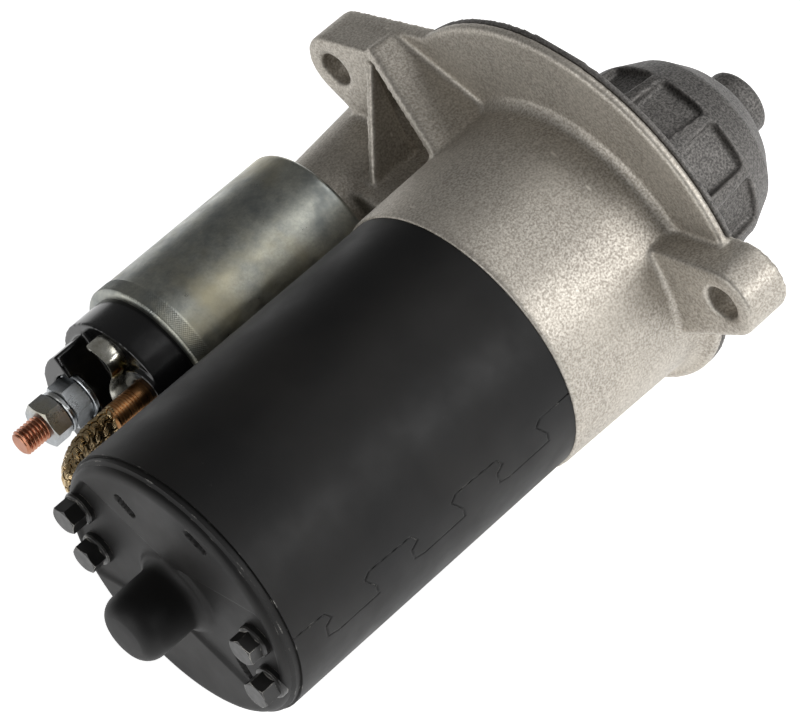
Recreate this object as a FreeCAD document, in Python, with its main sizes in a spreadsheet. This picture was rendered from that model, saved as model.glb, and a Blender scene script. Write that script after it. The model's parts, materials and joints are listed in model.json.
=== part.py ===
"""Starter motor with a reduction gear: permanent-magnet motor, planetary gears, solenoid and drive.

Frame: +X runs along the shaft towards the pinion, +Y towards the solenoid side along the line of
the two mounting holes, +Z up. The origin is on the shaft axis, in the mounting face of the flange.
Sizes are millimetres. The driving sizes are the cells of the spreadsheet "Sizes"; everything else
is worked out from them.
"""
import math
import os

import FreeCAD
import Part
import Sketcher
from FreeCAD import Placement, Rotation, Vector

DRIVING_SIZES = {
    # motor frame and end cap
    "frame_radius": 44.0, "frame_wall": 3.5, "frame_length": 109.5,
    "cap_rim_radius": 43.3, "cap_wall": 1.8, "cap_depth": 4.5, "cap_rim_width": 2.5,
    "boss_radius": 10.6, "boss_end": 190.5, "boss_wall": 2.9,
    "magnet_thick": 8.9, "magnet_count": 6, "magnet_arc": 43.0,
    "motor_bolt_y": 35.5, "motor_bolt_z": 10.0, "motor_bolt_radius": 2.5, "head_flats": 8.0,
    "brush_screw_y": 31.9, "brush_screw_z": -5.1,
    # drive end casting
    "housing_length": 57.0, "housing_rear_radius": 44.8, "housing_front_radius": 46.0,
    "cavity_radius": 31.5, "flange_thick": 5.0, "nose_plate_thick": 1.8,
    "rim_radius": 67.0, "rim_y": 5.0, "rim_z": 3.5, "lower_rim_radius": 51.0,
    "ear_thick": 15.0, "ear_radius": 11.3, "hole_radius": 5.5, "hole_span": 149.3,
    "left_hole_y": 86.3, "hole_line_z": 23.2,
    "pilot_radius": 40.0, "pilot_length": 5.0,
    # nose
    "nose_base_radius": 36.6, "nose_shoulder_x": 33.5, "nose_shoulder_radius": 32.6,
    "nose_bend_x": 44.5, "nose_bend_radius": 27.6, "nose_face_x": 55.0, "nose_wall": 4.2,
    "tip_radius": 10.5, "tip_x": 64.5, "window_start": 16.0, "window_end": 44.0, "window_z": -9.0,
    "pocket_count": 4, "pocket_first": 67.5, "pocket_pitch": 35.0, "pocket_arc": 29.0,
    "pocket_floor_radius": 29.5, "nose_screw_radius": 1.5, "nose_screw_circle": 43.1,
    # solenoid
    "solenoid_y": 72.2, "solenoid_z": -11.4, "solenoid_radius": 27.0, "solenoid_wall": 1.8,
    "solenoid_front": 43.2, "solenoid_rear": 110.0, "snout_rear_radius": 18.6,
    "snout_front_radius": 22.4, "snout_bore": 14.5, "plunger_radius": 11.5, "plunger_travel": 9.0,
    "cap_body_radius": 24.2, "cap_step_x": 123.5, "cap_end_x": 135.0, "tower_floor_x": 132.0,
    "stud_radius": 4.0, "stud_y": 7.7, "stud_z": 2.2, "stud_tip_x": 157.0, "nut_flats": 13.0,
    "nut_thick": 6.4, "terminal_y": -12.3, "terminal_z": 10.0, "terminal_tip_x": 138.5,
    "strap_radius": 3.1,
    "solenoid_screw_circle": 21.0, "solenoid_screw_radius": 2.5,
    # shafts, gears and drive
    "tooth_module": 1.5, "sun_teeth": 12, "planet_teeth": 12, "ring_teeth": 36, "gear_width": 9.0,
    "motor_shaft_radius": 7.0, "rear_journal_radius": 5.0, "pilot_journal_radius": 4.0,
    "output_radius": 8.2, "drive_shaft_radius": 6.9, "nose_journal_radius": 6.0,
    "core_radius": 30.5, "core_length": 66.0, "slot_count": 14, "commutator_radius": 15.0,
    "clutch_radius": 23.0, "race_radius": 10.5, "roller_radius": 3.2, "roller_count": 6,
    "collar_radius": 17.0, "groove_radius": 13.5, "groove_width": 6.2,
    "pinion_teeth": 10, "pinion_tip_radius": 14.6, "pinion_root_radius": 9.6,
    "pinion_width": 17.5, "pinion_rest_x": 8.5,
    "lever_pivot_x": -17.5, "lever_pivot_u": 45.5, "lever_rest_angle": 9.5, "lever_thick": 6.0,
    # clearances
    "running_gap": 0.05, "free_gap": 0.3,
}

doc = FreeCAD.newDocument("StarterMotor")
sheet = doc.addObject("Spreadsheet::Sheet", "Sizes")
for row, (alias, number) in enumerate(DRIVING_SIZES.items(), start=1):
    sheet.set(f"A{row}", alias)
    sheet.set(f"B{row}", str(number))
    sheet.setAlias(f"B{row}", alias)
doc.recompute()


class Size:
    """A length that keeps both its value and the spreadsheet expression that it comes from."""

    def __init__(self, value, text):
        self.value = value
        self.text = text

    def joined(self, other, sign, flipped=False):
        """Return the sum, difference, product or quotient with a number or another Size."""
        mine, theirs = (self, as_size(other))
        left, right = (theirs, mine) if flipped else (mine, theirs)
        results = {
            "+": lambda: left.value + right.value,
            "-": lambda: left.value - right.value,
            "*": lambda: left.value * right.value,
            "/": lambda: left.value / right.value,
        }
        return Size(results[sign](), f"({left.text} {sign} {right.text})")

    def __add__(self, other):
        return self.joined(other, "+")

    def __radd__(self, other):
        return self.joined(other, "+", flipped=True)

    def __sub__(self, other):
        return self.joined(other, "-")

    def __rsub__(self, other):
        return self.joined(other, "-", flipped=True)

    def __mul__(self, other):
        return self.joined(other, "*")

    def __rmul__(self, other):
        return self.joined(other, "*", flipped=True)

    def __truediv__(self, other):
        return self.joined(other, "/")

    def __neg__(self):
        return Size(-self.value, f"(0 - {self.text})")

    def __float__(self):
        return float(self.value)


def as_size(number):
    """Wrap a plain number so that it can be bound like a spreadsheet size."""
    return number if isinstance(number, Size) else Size(float(number), f"{float(number):.6g}")


class SizeTable:
    """Gives each spreadsheet cell as a Size attribute, read back from the sheet."""

    def __getattr__(self, alias):
        return Size(float(sheet.get(alias)), f"Sizes.{alias}")


S = SizeTable()
PARTS = {}
NOSE_SCREW_ANGLES = (75, 200, 285)
SOLENOID_SCREW_ANGLES = (-32, -148)
ALONG = Vector(1, 0, 0)


def bind(obj, prop, size):
    """Tie one property of an object to its spreadsheet expression."""
    obj.setExpression(prop, as_size(size).text)


def keep(node, obj):
    """Give a finished sub-part its label, which names its file."""
    obj.Label = node
    PARTS[node] = obj
    return obj


# ---------------------------------------------------------------- primitives along the shaft

def rod(start, end, radius, y=0, z=0, name="Rod"):
    """A solid cylinder along X from start to end, centred on (y, z)."""
    obj = doc.addObject("Part::Cylinder", name)
    obj.Placement = Placement(Vector(0, 0, 0), Rotation(Vector(0, 1, 0), 90))
    bind(obj, "Radius", radius)
    bind(obj, "Height", as_size(end) - start)
    bind(obj, "Placement.Base.x", start)
    bind(obj, "Placement.Base.y", y)
    bind(obj, "Placement.Base.z", z)
    return obj


def taper(start, end, start_radius, end_radius, y=0, z=0, name="Taper"):
    """A solid cone frustum along X."""
    obj = doc.addObject("Part::Cone", name)
    obj.Placement = Placement(Vector(0, 0, 0), Rotation(Vector(0, 1, 0), 90))
    bind(obj, "Radius1", start_radius)
    bind(obj, "Radius2", end_radius)
    bind(obj, "Height", as_size(end) - start)
    bind(obj, "Placement.Base.x", start)
    bind(obj, "Placement.Base.y", y)
    bind(obj, "Placement.Base.z", z)
    return obj


def block(low, high, name="Block"):
    """A box between two corners, each given as (x, y, z) sizes."""
    obj = doc.addObject("Part::Box", name)
    for prop, axis, first, last in zip(("Length", "Width", "Height"), "xyz", low, high):
        bind(obj, prop, as_size(last) - first)
        bind(obj, f"Placement.Base.{axis}", first)
    return obj


def hexagon(start, end, flats, y=0, z=0, turn=0.0, name="Hexagon"):
    """A hexagonal prism along X with the given width across its flats."""
    obj = doc.addObject("Part::Prism", name)
    obj.Polygon = 6
    tilt = Rotation(Vector(1, 0, 0), turn).multiply(Rotation(Vector(0, 1, 0), 90))
    obj.Placement = Placement(Vector(0, 0, 0), tilt)
    bind(obj, "Circumradius", as_size(flats) / math.sqrt(3))
    bind(obj, "Height", as_size(end) - start)
    bind(obj, "Placement.Base.x", start)
    bind(obj, "Placement.Base.y", y)
    bind(obj, "Placement.Base.z", z)
    return obj


def fuse(*pieces, name="Fuse"):
    """One solid out of several touching ones."""
    obj = doc.addObject("Part::MultiFuse", name)
    obj.Shapes = list(pieces)
    obj.Refine = True
    return obj


def group(*pieces, name="Group"):
    """Several separate solids kept in one node."""
    obj = doc.addObject("Part::Compound", name)
    obj.Links = list(pieces)
    return obj


def cut(base, *tools, name="Cut"):
    """The base with every tool taken away."""
    obj = doc.addObject("Part::Cut", name)
    obj.Base = base
    obj.Tool = tools[0] if len(tools) == 1 else fuse(*tools, name=f"{name}Tools")
    return obj


def overlap(first, second, name="Common"):
    """What two solids share."""
    obj = doc.addObject("Part::Common", name)
    obj.Base = first
    obj.Tool = second
    return obj


def tube(start, end, outer, inner, y=0, z=0, name="Tube"):
    """A hollow cylinder along X."""
    return cut(rod(start, end, outer, y, z), rod(start, end, inner, y, z), name=name)


def made(name, shape, place=None):
    """A plain feature for a shape that neither sketches nor primitives describe."""
    obj = doc.addObject("Part::Feature", name)
    obj.Shape = shape
    if place is not None:
        obj.Placement = place
    return obj


# ---------------------------------------------------------------- sketched features

def origin_plane(body, role):
    """The body's own origin plane with that role."""
    return next(plane for plane in body.Origin.OriginFeatures if plane.Role == role)


def new_sketch(body, role, offset=None):
    """A sketch on one of the body's origin planes, moved by an attachment offset."""
    sketch = body.newObject("Sketcher::SketchObject", f"{body.Name}Sketch")
    sketch.AttachmentSupport = [(origin_plane(body, role), "")]
    sketch.MapMode = "FlatFace"
    if offset is not None:
        sketch.AttachmentOffset = offset
    return sketch


def fix_point(sketch, geometry, point, across, along):
    """Hold one sketch point at its place from the sketch origin."""
    for kind, size in (("DistanceX", across), ("DistanceY", along)):
        place = as_size(size)
        index = sketch.addConstraint(
            Sketcher.Constraint(kind, -1, 1, geometry, point, place.value)
        )
        sketch.setExpression(f"Constraints[{index}]", place.text)


def draw_polygon(sketch, points):
    """A closed outline of straight lines through the points."""
    count = len(points)
    for index in range(count):
        first, last = points[index], points[(index + 1) % count]
        sketch.addGeometry(
            Part.LineSegment(
                Vector(float(first[0]), float(first[1]), 0),
                Vector(float(last[0]), float(last[1]), 0),
            )
        )
    for index in range(count):
        sketch.addConstraint(
            Sketcher.Constraint("Coincident", index, 2, (index + 1) % count, 1)
        )
    for index, (across, along) in enumerate(points):
        fix_point(sketch, index, 1, across, along)


def turned(name, profile):
    """A body turned about the shaft axis from a profile of (x, radius) points."""
    body = doc.addObject("PartDesign::Body", name)
    sketch = new_sketch(body, "XY_Plane")
    draw_polygon(sketch, profile)
    spin = body.newObject("PartDesign::Revolution", f"{name}Turned")
    spin.Profile = sketch
    spin.ReferenceAxis = (sketch, ["H_Axis"])
    spin.Angle = 360
    return body


def padded(name, role, offset, outline, thick, reverse=False):
    """A body padded from a straight-sided outline."""
    body = doc.addObject("PartDesign::Body", name)
    sketch = new_sketch(body, role, offset)
    draw_polygon(sketch, outline)
    pad = body.newObject("PartDesign::Pad", f"{name}Pad")
    pad.Profile = sketch
    pad.Reversed = reverse
    bind(pad, "Length", thick)
    return body


def tangent_from(point, centre, radius, side):
    """Where a line from the point touches the circle, on the given side (+1 or -1)."""
    away = point - centre
    spread = math.degrees(math.acos(radius / away.Length))
    return centre + Rotation(Vector(0, 0, 1), side * spread).multVec(away).normalize() * radius


def lug(name, start, thick, hole, radius, first, last, side):
    """A lug along X: a round end about the hole, with straight sides to two points."""
    body = doc.addObject("PartDesign::Body", name)
    sketch = new_sketch(body, "YZ_Plane", Placement(Vector(0, 0, float(start)), Rotation()))
    bind(sketch, "AttachmentOffset.Base.z", start)
    centre = Vector(float(hole[0]), float(hole[1]), 0)
    corner_a = Vector(float(first[0]), float(first[1]), 0)
    corner_b = Vector(float(last[0]), float(last[1]), 0)
    touch_a = tangent_from(corner_a, centre, float(radius), side)
    touch_b = tangent_from(corner_b, centre, float(radius), -side)
    outward = centre - (corner_a + corner_b) * 0.5
    far = centre + outward.normalize() * float(radius)
    sketch.addGeometry(Part.LineSegment(corner_a, touch_a))
    sketch.addGeometry(Part.Arc(touch_a, far, touch_b) if side > 0 else Part.Arc(touch_b, far, touch_a))
    sketch.addGeometry(Part.LineSegment(touch_b, corner_b))
    sketch.addGeometry(Part.LineSegment(corner_b, corner_a))
    arc_first, arc_last = (1, 2) if side > 0 else (2, 1)
    sketch.addConstraint(Sketcher.Constraint("Tangent", 0, 2, 1, arc_first))
    sketch.addConstraint(Sketcher.Constraint("Tangent", 1, arc_last, 2, 1))
    sketch.addConstraint(Sketcher.Constraint("Coincident", 2, 2, 3, 1))
    sketch.addConstraint(Sketcher.Constraint("Coincident", 3, 2, 0, 1))
    fix_point(sketch, 1, 3, hole[0], hole[1])
    fix_point(sketch, 0, 1, first[0], first[1])
    fix_point(sketch, 2, 2, last[0], last[1])
    index = sketch.addConstraint(Sketcher.Constraint("Radius", 1, float(radius)))
    sketch.setExpression(f"Constraints[{index}]", as_size(radius).text)
    pad = body.newObject("PartDesign::Pad", f"{name}Pad")
    pad.Profile = sketch
    bind(pad, "Length", thick)
    return body


# ---------------------------------------------------------------- toothed and coiled shapes

def polygon_prism(points, start, length):
    """A prism along X from points (y, z)."""
    corners = [Vector(start, y, z) for y, z in points]
    face = Part.Face(Part.makePolygon(corners + corners[:1]))
    return face.extrude(Vector(length, 0, 0))


def tooth_half_angle(radius, pitch_radius, base_radius, backlash):
    """Half the angle of an involute tooth at that radius, thinned for backlash."""
    def involute(at):
        if at <= base_radius:
            return 0.0
        pressure = math.acos(base_radius / at)
        return math.tan(pressure) - pressure
    count = 2 * pitch_radius / float(S.tooth_module)
    at_pitch = math.pi / (2 * count)
    return at_pitch + involute(pitch_radius) - involute(radius) - backlash / pitch_radius


def gear_points(teeth, tip_radius, root_radius, backlash, turn=0.0):
    """Outline (y, z) of a spur gear whose first tooth points along +Y turned by that angle."""
    pitch_radius = teeth * float(S.tooth_module) / 2
    base_radius = pitch_radius * math.cos(math.radians(20))
    low, high = min(root_radius, tip_radius), max(root_radius, tip_radius)
    steps = 4
    start_radius = max(low, base_radius)
    flank = [start_radius + (high - start_radius) * step / steps for step in range(steps + 1)]
    if low < start_radius:
        flank = [low] + flank
    points = []
    for tooth in range(teeth):
        middle = 2 * math.pi * tooth / teeth + math.radians(turn)
        half = [tooth_half_angle(radius, pitch_radius, base_radius, backlash) for radius in flank]
        rising = [(radius, middle - angle) for radius, angle in zip(flank, half)]
        falling = [(radius, middle + angle) for radius, angle in zip(flank, half)]
        for radius, angle in rising + falling[::-1]:
            points.append((radius * math.cos(angle), radius * math.sin(angle)))
    return points


def star_points(count, outer, inner, outer_share, inner_share, turn=0.0):
    """Outline (y, z) of straight-sided teeth: pinion teeth, splines or armature slots."""
    points = []
    pitch = 2 * math.pi / count
    for index in range(count):
        middle = index * pitch + math.radians(turn)
        for radius, share, side in (
            (inner, inner_share, -1), (outer, outer_share, -1),
            (outer, outer_share, 1), (inner, inner_share, 1),
        ):
            angle = middle + side * pitch * share / 2
            points.append((radius * math.cos(angle), radius * math.sin(angle)))
    return points


def coil(length, mean_radius, wire_radius, turns):
    """A helical spring along +Z from the origin."""
    rise = length - 2 * wire_radius
    helix = Part.makeHelix(rise / turns, rise, mean_radius)
    ring = Part.Wire(Part.makeCircle(wire_radius, Vector(mean_radius, 0, 0), Vector(0, 1, 0)))
    shell = Part.Wire(helix.Edges).makePipeShell([ring], True, True)
    return shell.translated(Vector(0, 0, wire_radius))


def wedge(start, end, inner, outer, middle, spread):
    """Part of a ring along X, given its middle angle and its spread in degrees."""
    solid = Part.makeCylinder(outer, end - start, Vector(start, 0, 0), Vector(1, 0, 0), spread)
    core = Part.makeCylinder(inner, end - start, Vector(start, 0, 0), Vector(1, 0, 0), 360)
    piece = solid.cut(core).Solids[0]
    centre = piece.CenterOfMass
    piece.rotate(Vector(0, 0, 0), Vector(1, 0, 0), middle - math.degrees(math.atan2(centre.z, centre.y)))
    return piece


# ---------------------------------------------------------------- stations along the shaft

junction_x = -S.housing_length
frame_rear_x = junction_x - S.frame_length
cap_face_x = frame_rear_x - S.cap_depth
gear_rear_x = junction_x + 1.8
gear_front_x = gear_rear_x + S.gear_width
carrier_rear_x = gear_front_x + 0.6
carrier_front_x = carrier_rear_x + 4.0
plate_rear_x = carrier_front_x + 0.6
plate_front_x = plate_rear_x + 3.5
solenoid_front_x = -S.solenoid_front
solenoid_rear_x = -S.solenoid_rear
gear_case_radius = S.cavity_radius + 2.1
tilt = math.degrees(math.atan2(float(S.solenoid_z), float(S.solenoid_y)))
solenoid_distance = math.hypot(float(S.solenoid_y), float(S.solenoid_z))
right_hole_y = S.left_hole_y - S.hole_span
solenoid_plane = Rotation(ALONG, tilt)
lever_ratio = float(S.lever_pivot_u) / (solenoid_distance - float(S.lever_pivot_u))
drive_travel = lever_ratio * S.plunger_travel
spline_end_x = S.pinion_rest_x - 19.5
journal_x = S.nose_face_x - 6.8
shaft_rear_x = -S.boss_end + 3.0
commutator_rear_x = frame_rear_x + 1.5
core_front_x = junction_x - 15.0
core_rear_x = core_front_x - S.core_length
brush_plate_x = frame_rear_x + 3.2
plunger_rear_x = solenoid_front_x - 26.8
contact_floor_x = solenoid_rear_x - 9.2


def solenoid_screw_places():
    """Centres (y, z) of the two solenoid screws, from the solenoid's own axis."""
    turns = [math.radians(angle) for angle in SOLENOID_SCREW_ANGLES]
    circle = S.solenoid_screw_circle
    return [(circle * math.cos(turn), circle * math.sin(turn)) for turn in turns]


# ---------------------------------------------------------------- drive end casting

def ear_shape(name, start, thick):
    """Outline of both mounting ears as one tool or one plate, from start along +X."""
    left = lug(
        f"{name}Left", start, thick, (S.left_hole_y, S.hole_line_z), S.ear_radius,
        (S.rim_y + 50.5, S.rim_z + 43.3), (S.rim_y + 41.0, S.rim_z - 6.0), -1,
    )
    return fuse(left, right_lug(f"{name}Right", start, thick), name=name)


def right_lug(name, start, thick):
    """The lug on the side away from the solenoid, run into the barrel."""
    return lug(
        name, start, thick, (right_hole_y, S.hole_line_z), S.ear_radius,
        (-S.housing_front_radius * 0.8, S.housing_front_radius * 0.6),
        (-S.housing_front_radius, as_size(-1.5)), 1,
    )


def rim_shape(name, start, end):
    """The round outline of the flange between two stations."""
    upper = overlap(
        rod(start, end, S.rim_radius, S.rim_y, S.rim_z),
        block(
            (start, S.rim_y - S.rim_radius, S.hole_line_z),
            (end, S.rim_y + S.rim_radius, S.rim_z + S.rim_radius),
        ),
        name=f"{name}Upper",
    )
    return fuse(upper, rod(start, end, S.lower_rim_radius), name=name)


def build_housing():
    """Barrel, flange, two ears, solenoid snout and webs, cored out for the gears and the lever."""
    barrel = taper(junction_x, -S.nose_plate_thick, S.housing_rear_radius, S.housing_front_radius)
    root = taper(
        -S.flange_thick - 3.0, -S.flange_thick, S.housing_front_radius - 0.8,
        S.housing_front_radius + 2.2,
    )
    rim = rim_shape("FlangeRim", -S.flange_thick, -S.nose_plate_thick)
    ears = ear_shape("EarPlates", -S.flange_thick, S.flange_thick)
    left_ear = lug(
        "LeftEar", -S.ear_thick, S.ear_thick, (S.left_hole_y, S.hole_line_z), S.ear_radius,
        (S.left_hole_y - 16.8, S.hole_line_z + 17.6), (S.solenoid_y - 1.0, S.solenoid_z + 14.0), -1,
    )
    right_ear = right_lug("RightEar", -S.ear_thick, S.ear_thick)
    snout = taper(
        solenoid_front_x, -S.nose_plate_thick, S.snout_rear_radius, S.snout_front_radius,
        S.solenoid_y, S.solenoid_z,
    )
    bridge = made(
        "Bridge",
        Part.makeBox(
            -float(solenoid_front_x) - float(S.nose_plate_thick) - 6.0,
            solenoid_distance - 31.0, 30.0,
            Vector(float(solenoid_front_x) + 6.0, 31.0, -15.0),
        ),
        Placement(Vector(0, 0, 0), solenoid_plane),
    )
    web = padded(
        "EarWeb", "XY_Plane",
        Placement(Vector(0, 0, 23.8), Rotation(ALONG, 14.3)),
        [
            (-S.ear_thick + 0.5, S.left_hole_y - 13.5), (-S.nose_plate_thick - 1.0, S.left_hole_y - 15.0),
            (-S.nose_plate_thick - 1.0, as_size(30.0)), (-S.ear_thick - 14.0, as_size(30.0)),
        ],
        4.2, reverse=True,
    )
    rib = padded(
        "SnoutRib", "XY_Plane",
        Placement(
            Vector(0, float(S.left_hole_y) - 17.0, float(S.hole_line_z) + 4.0),
            Rotation(Vector(1, 0, 0), 66.7),
        ),
        [
            (-S.ear_thick + 1.0, as_size(8.0)), (-S.ear_thick - 1.0, as_size(6.0)),
            (-S.ear_thick - 16.0, as_size(-22.5)), (-S.ear_thick + 1.0, as_size(-25.0)),
        ],
        2.8,
    )
    lobes = [
        on_solenoid_rod(solenoid_front_x, solenoid_front_x + 7.0, 6.0, y, z)
        for y, z in solenoid_screw_places()
    ]
    solid = fuse(
        barrel, root, rim, ears, left_ear, right_ear, snout, bridge, web, rib, *lobes, name="HousingSolid"
    )
    bores = [
        rod(junction_x - 1.0, plate_front_x, gear_case_radius + 0.2),
        rod(junction_x, as_size(0.0), S.cavity_radius),
        rod(solenoid_front_x - 1.0, -S.nose_plate_thick - 3.7, S.snout_bore, S.solenoid_y, S.solenoid_z),
        made(
            "LeverSlot",
            Part.makeBox(
                26.0, solenoid_distance - 20.0, 16.0,
                Vector(-5.5 - 26.0, 20.0, -8.0),
            ),
            Placement(Vector(0, 0, 0), solenoid_plane),
        ),
        made(
            "PivotHole",
            Part.makeCylinder(
                3.0, 26.0, Vector(float(S.lever_pivot_x), float(S.lever_pivot_u), -11.0), Vector(0, 0, 1)
            ),
            Placement(Vector(0, 0, 0), solenoid_plane),
        ),
        rod(-S.ear_thick - 1.0, as_size(1.0), S.hole_radius, S.left_hole_y, S.hole_line_z),
        rod(-S.ear_thick - 1.0, as_size(1.0), S.hole_radius, right_hole_y, S.hole_line_z),
    ]
    for side in (1, -1):
        bores.append(
            rod(
                junction_x - 1.0, junction_x + 14.0, S.motor_bolt_radius + S.running_gap,
                side * S.motor_bolt_y, side * S.motor_bolt_z,
            )
        )
    for angle in NOSE_SCREW_ANGLES:
        across = S.nose_screw_circle * math.cos(math.radians(angle))
        up = S.nose_screw_circle * math.sin(math.radians(angle))
        bores.append(rod(as_size(-9.5), as_size(0.0), S.nose_screw_radius, across, up))
    clearance = S.solenoid_screw_radius + 0.25
    for y, z in solenoid_screw_places():
        bores.append(on_solenoid_rod(solenoid_front_x - 1.0, solenoid_front_x + 8.0, clearance, y, z))
        bores.append(on_solenoid_rod(solenoid_front_x + 7.0, solenoid_front_x + 18.0, 4.6, y, z))
    keep("drive_end_housing", cut(solid, *bores, name="DriveEndHousing"))


def build_nose():
    """Base plate, locating register, ribbed dome and tip boss, open below for the ring gear."""
    plate = rim_shape("NosePlateRim", -S.nose_plate_thick, as_size(0.0))
    plate = cut(plate, ear_shape("EarRelief", -S.ear_thick, S.ear_thick + 1.0), name="NosePlate")
    shell = turned(
        "NoseShell",
        [
            (-S.nose_plate_thick, S.cavity_radius - 1.0), (-S.nose_plate_thick, S.pilot_radius),
            (S.pilot_length, S.pilot_radius), (S.pilot_length, S.nose_base_radius),
            (S.nose_shoulder_x, S.nose_shoulder_radius), (S.nose_bend_x, S.nose_bend_radius),
            (S.nose_face_x - 4.0, S.nose_bend_radius - 6.5), (S.nose_face_x, S.tip_radius + 4.5),
            (S.nose_face_x + 2.0, S.tip_radius), (S.tip_x - 1.5, S.tip_radius),
            (S.tip_x, S.tip_radius - 1.5), (S.tip_x, as_size(0.0)),
            (S.nose_face_x - S.nose_wall, as_size(0.0)),
            (S.nose_face_x - S.nose_wall, S.nose_bend_radius - 9.5),
            (S.nose_bend_x - 2.0, S.nose_bend_radius - S.nose_wall),
            (S.nose_shoulder_x - 2.0, S.pocket_floor_radius - 2.5),
            (as_size(8.0), S.pocket_floor_radius - 2.5), (as_size(3.0), S.cavity_radius - 1.0),
        ],
    )
    solid = fuse(plate, shell, name="NoseSolid")
    bores = [
        rod(-S.nose_plate_thick - 1.0, as_size(1.0), S.cavity_radius - 1.0),
        rod(as_size(50.0), S.tip_x - 2.5, S.nose_journal_radius + 2.5),
        block(
            (S.window_start, -S.nose_base_radius, -S.nose_base_radius - 1.0),
            (S.window_end, S.nose_base_radius, S.window_z),
        ),
    ]
    for index in range(int(float(S.pocket_count))):
        middle = float(S.pocket_first) + index * float(S.pocket_pitch)
        floor = float(S.pocket_floor_radius)
        width = 2 * (floor + 2.0) * math.sin(math.radians(float(S.pocket_arc) / 2))
        box = Part.makeBox(
            float(S.nose_shoulder_x) + 0.5 - float(S.pilot_length), 12.0, width,
            Vector(float(S.pilot_length), floor, -width / 2),
        )
        bores.append(made("NosePocket", box, Placement(Vector(0, 0, 0), Rotation(Vector(1, 0, 0), middle))))
    screws = []
    for angle in NOSE_SCREW_ANGLES:
        across = S.nose_screw_circle * math.cos(math.radians(angle))
        up = S.nose_screw_circle * math.sin(math.radians(angle))
        shank, sink_x = S.nose_screw_radius, -S.nose_plate_thick + 0.3
        bores.append(rod(-S.nose_plate_thick - 1.0, as_size(1.0), shank + 0.1, across, up))
        bores.append(taper(sink_x, as_size(0.0), shank + 0.1, shank + 1.6, across, up))
        head = taper(sink_x, as_size(0.0), shank, shank + 1.5, across, up)
        screws.append(fuse(head, rod(as_size(-9.0), as_size(-1.2), shank, across, up), name="NoseScrew"))
    keep("nose_cone", cut(solid, *bores, name="NoseCone"))
    keep("nose_screws", group(*screws, name="NoseScrews"))
    keep(
        "nose_bushing",
        tube(
            S.nose_face_x - S.nose_wall, S.tip_x - 2.6, S.nose_journal_radius + 2.5,
            S.nose_journal_radius + S.running_gap, name="NoseBushing",
        ),
    )


# ---------------------------------------------------------------- reduction gear

def build_gears():
    """Shield plate, fixed ring gear, centre bearing, sun and planets on their carrier."""
    keep("shield_plate", tube(junction_x, junction_x + 1.2, gear_case_radius, 11.2, name="ShieldPlate"))
    ring_root = float(S.ring_teeth) * float(S.tooth_module) / 2 + 1.25 * float(S.tooth_module)
    ring_tip = float(S.ring_teeth) * float(S.tooth_module) / 2 - 0.6 * float(S.tooth_module)
    start, width = float(junction_x) + 1.4, float(S.gear_width) + 0.8
    blank = Part.makeCylinder(float(gear_case_radius), width, Vector(start, 0, 0), Vector(1, 0, 0))
    opening = gear_points(int(float(S.ring_teeth)), ring_root, ring_tip, -0.12, turn=5.0)
    keep("ring_gear", made("RingGear", blank.cut(polygon_prism(opening, start, width))))
    keep(
        "centre_bearing_plate",
        tube(plate_rear_x, plate_front_x, gear_case_radius, S.output_radius + 1.8, name="CentrePlate"),
    )
    keep(
        "centre_bushing",
        tube(
            plate_rear_x, plate_front_x + 1.5, S.output_radius + 1.8,
            S.output_radius + S.running_gap, name="CentreBushing",
        ),
    )
    pitch = float(S.sun_teeth) * float(S.tooth_module) / 2
    tip, root = pitch + 0.8 * float(S.tooth_module), pitch - 1.2 * float(S.tooth_module)
    sun = gear_points(int(float(S.sun_teeth)), tip, root, 0.06)
    keep("sun_gear", made("SunGear", polygon_prism(sun, float(gear_rear_x) - 0.3, float(S.gear_width) + 0.5)))
    planet_pitch = float(S.planet_teeth) * float(S.tooth_module) / 2
    orbit = pitch + planet_pitch
    teeth = gear_points(
        int(float(S.planet_teeth)), planet_pitch + 0.8 * float(S.tooth_module),
        planet_pitch - 1.2 * float(S.tooth_module), 0.06, turn=15.0,
    )
    blank = polygon_prism(teeth, float(gear_rear_x), float(S.gear_width))
    bore = Part.makeCylinder(
        3.0 + float(S.running_gap), float(S.gear_width), Vector(float(gear_rear_x), 0, 0), Vector(1, 0, 0)
    )
    planet = blank.cut(bore)
    pins, holes = [], []
    for index in range(3):
        around = Rotation(Vector(1, 0, 0), 120.0 * index)
        centre = around.multVec(Vector(0, orbit, 0))
        place = Placement(centre, around)
        keep(f"planet_gear_{index + 1}", made(f"PlanetGear{index + 1}", planet.copy(), place))
        pins.append(rod(gear_rear_x - 0.1, carrier_front_x, 3.0, centre.y, centre.z))
        holes.append(rod(carrier_rear_x, carrier_front_x, 3.0, centre.y, centre.z))
    disc = rod(carrier_rear_x, carrier_front_x, orbit + 6.5)
    keep(
        "planet_carrier",
        cut(disc, rod(carrier_rear_x, carrier_front_x, S.output_radius), *holes, name="PlanetCarrier"),
    )
    keep("planet_pins", group(*pins, name="PlanetPins"))


# ---------------------------------------------------------------- output shaft and drive

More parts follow.
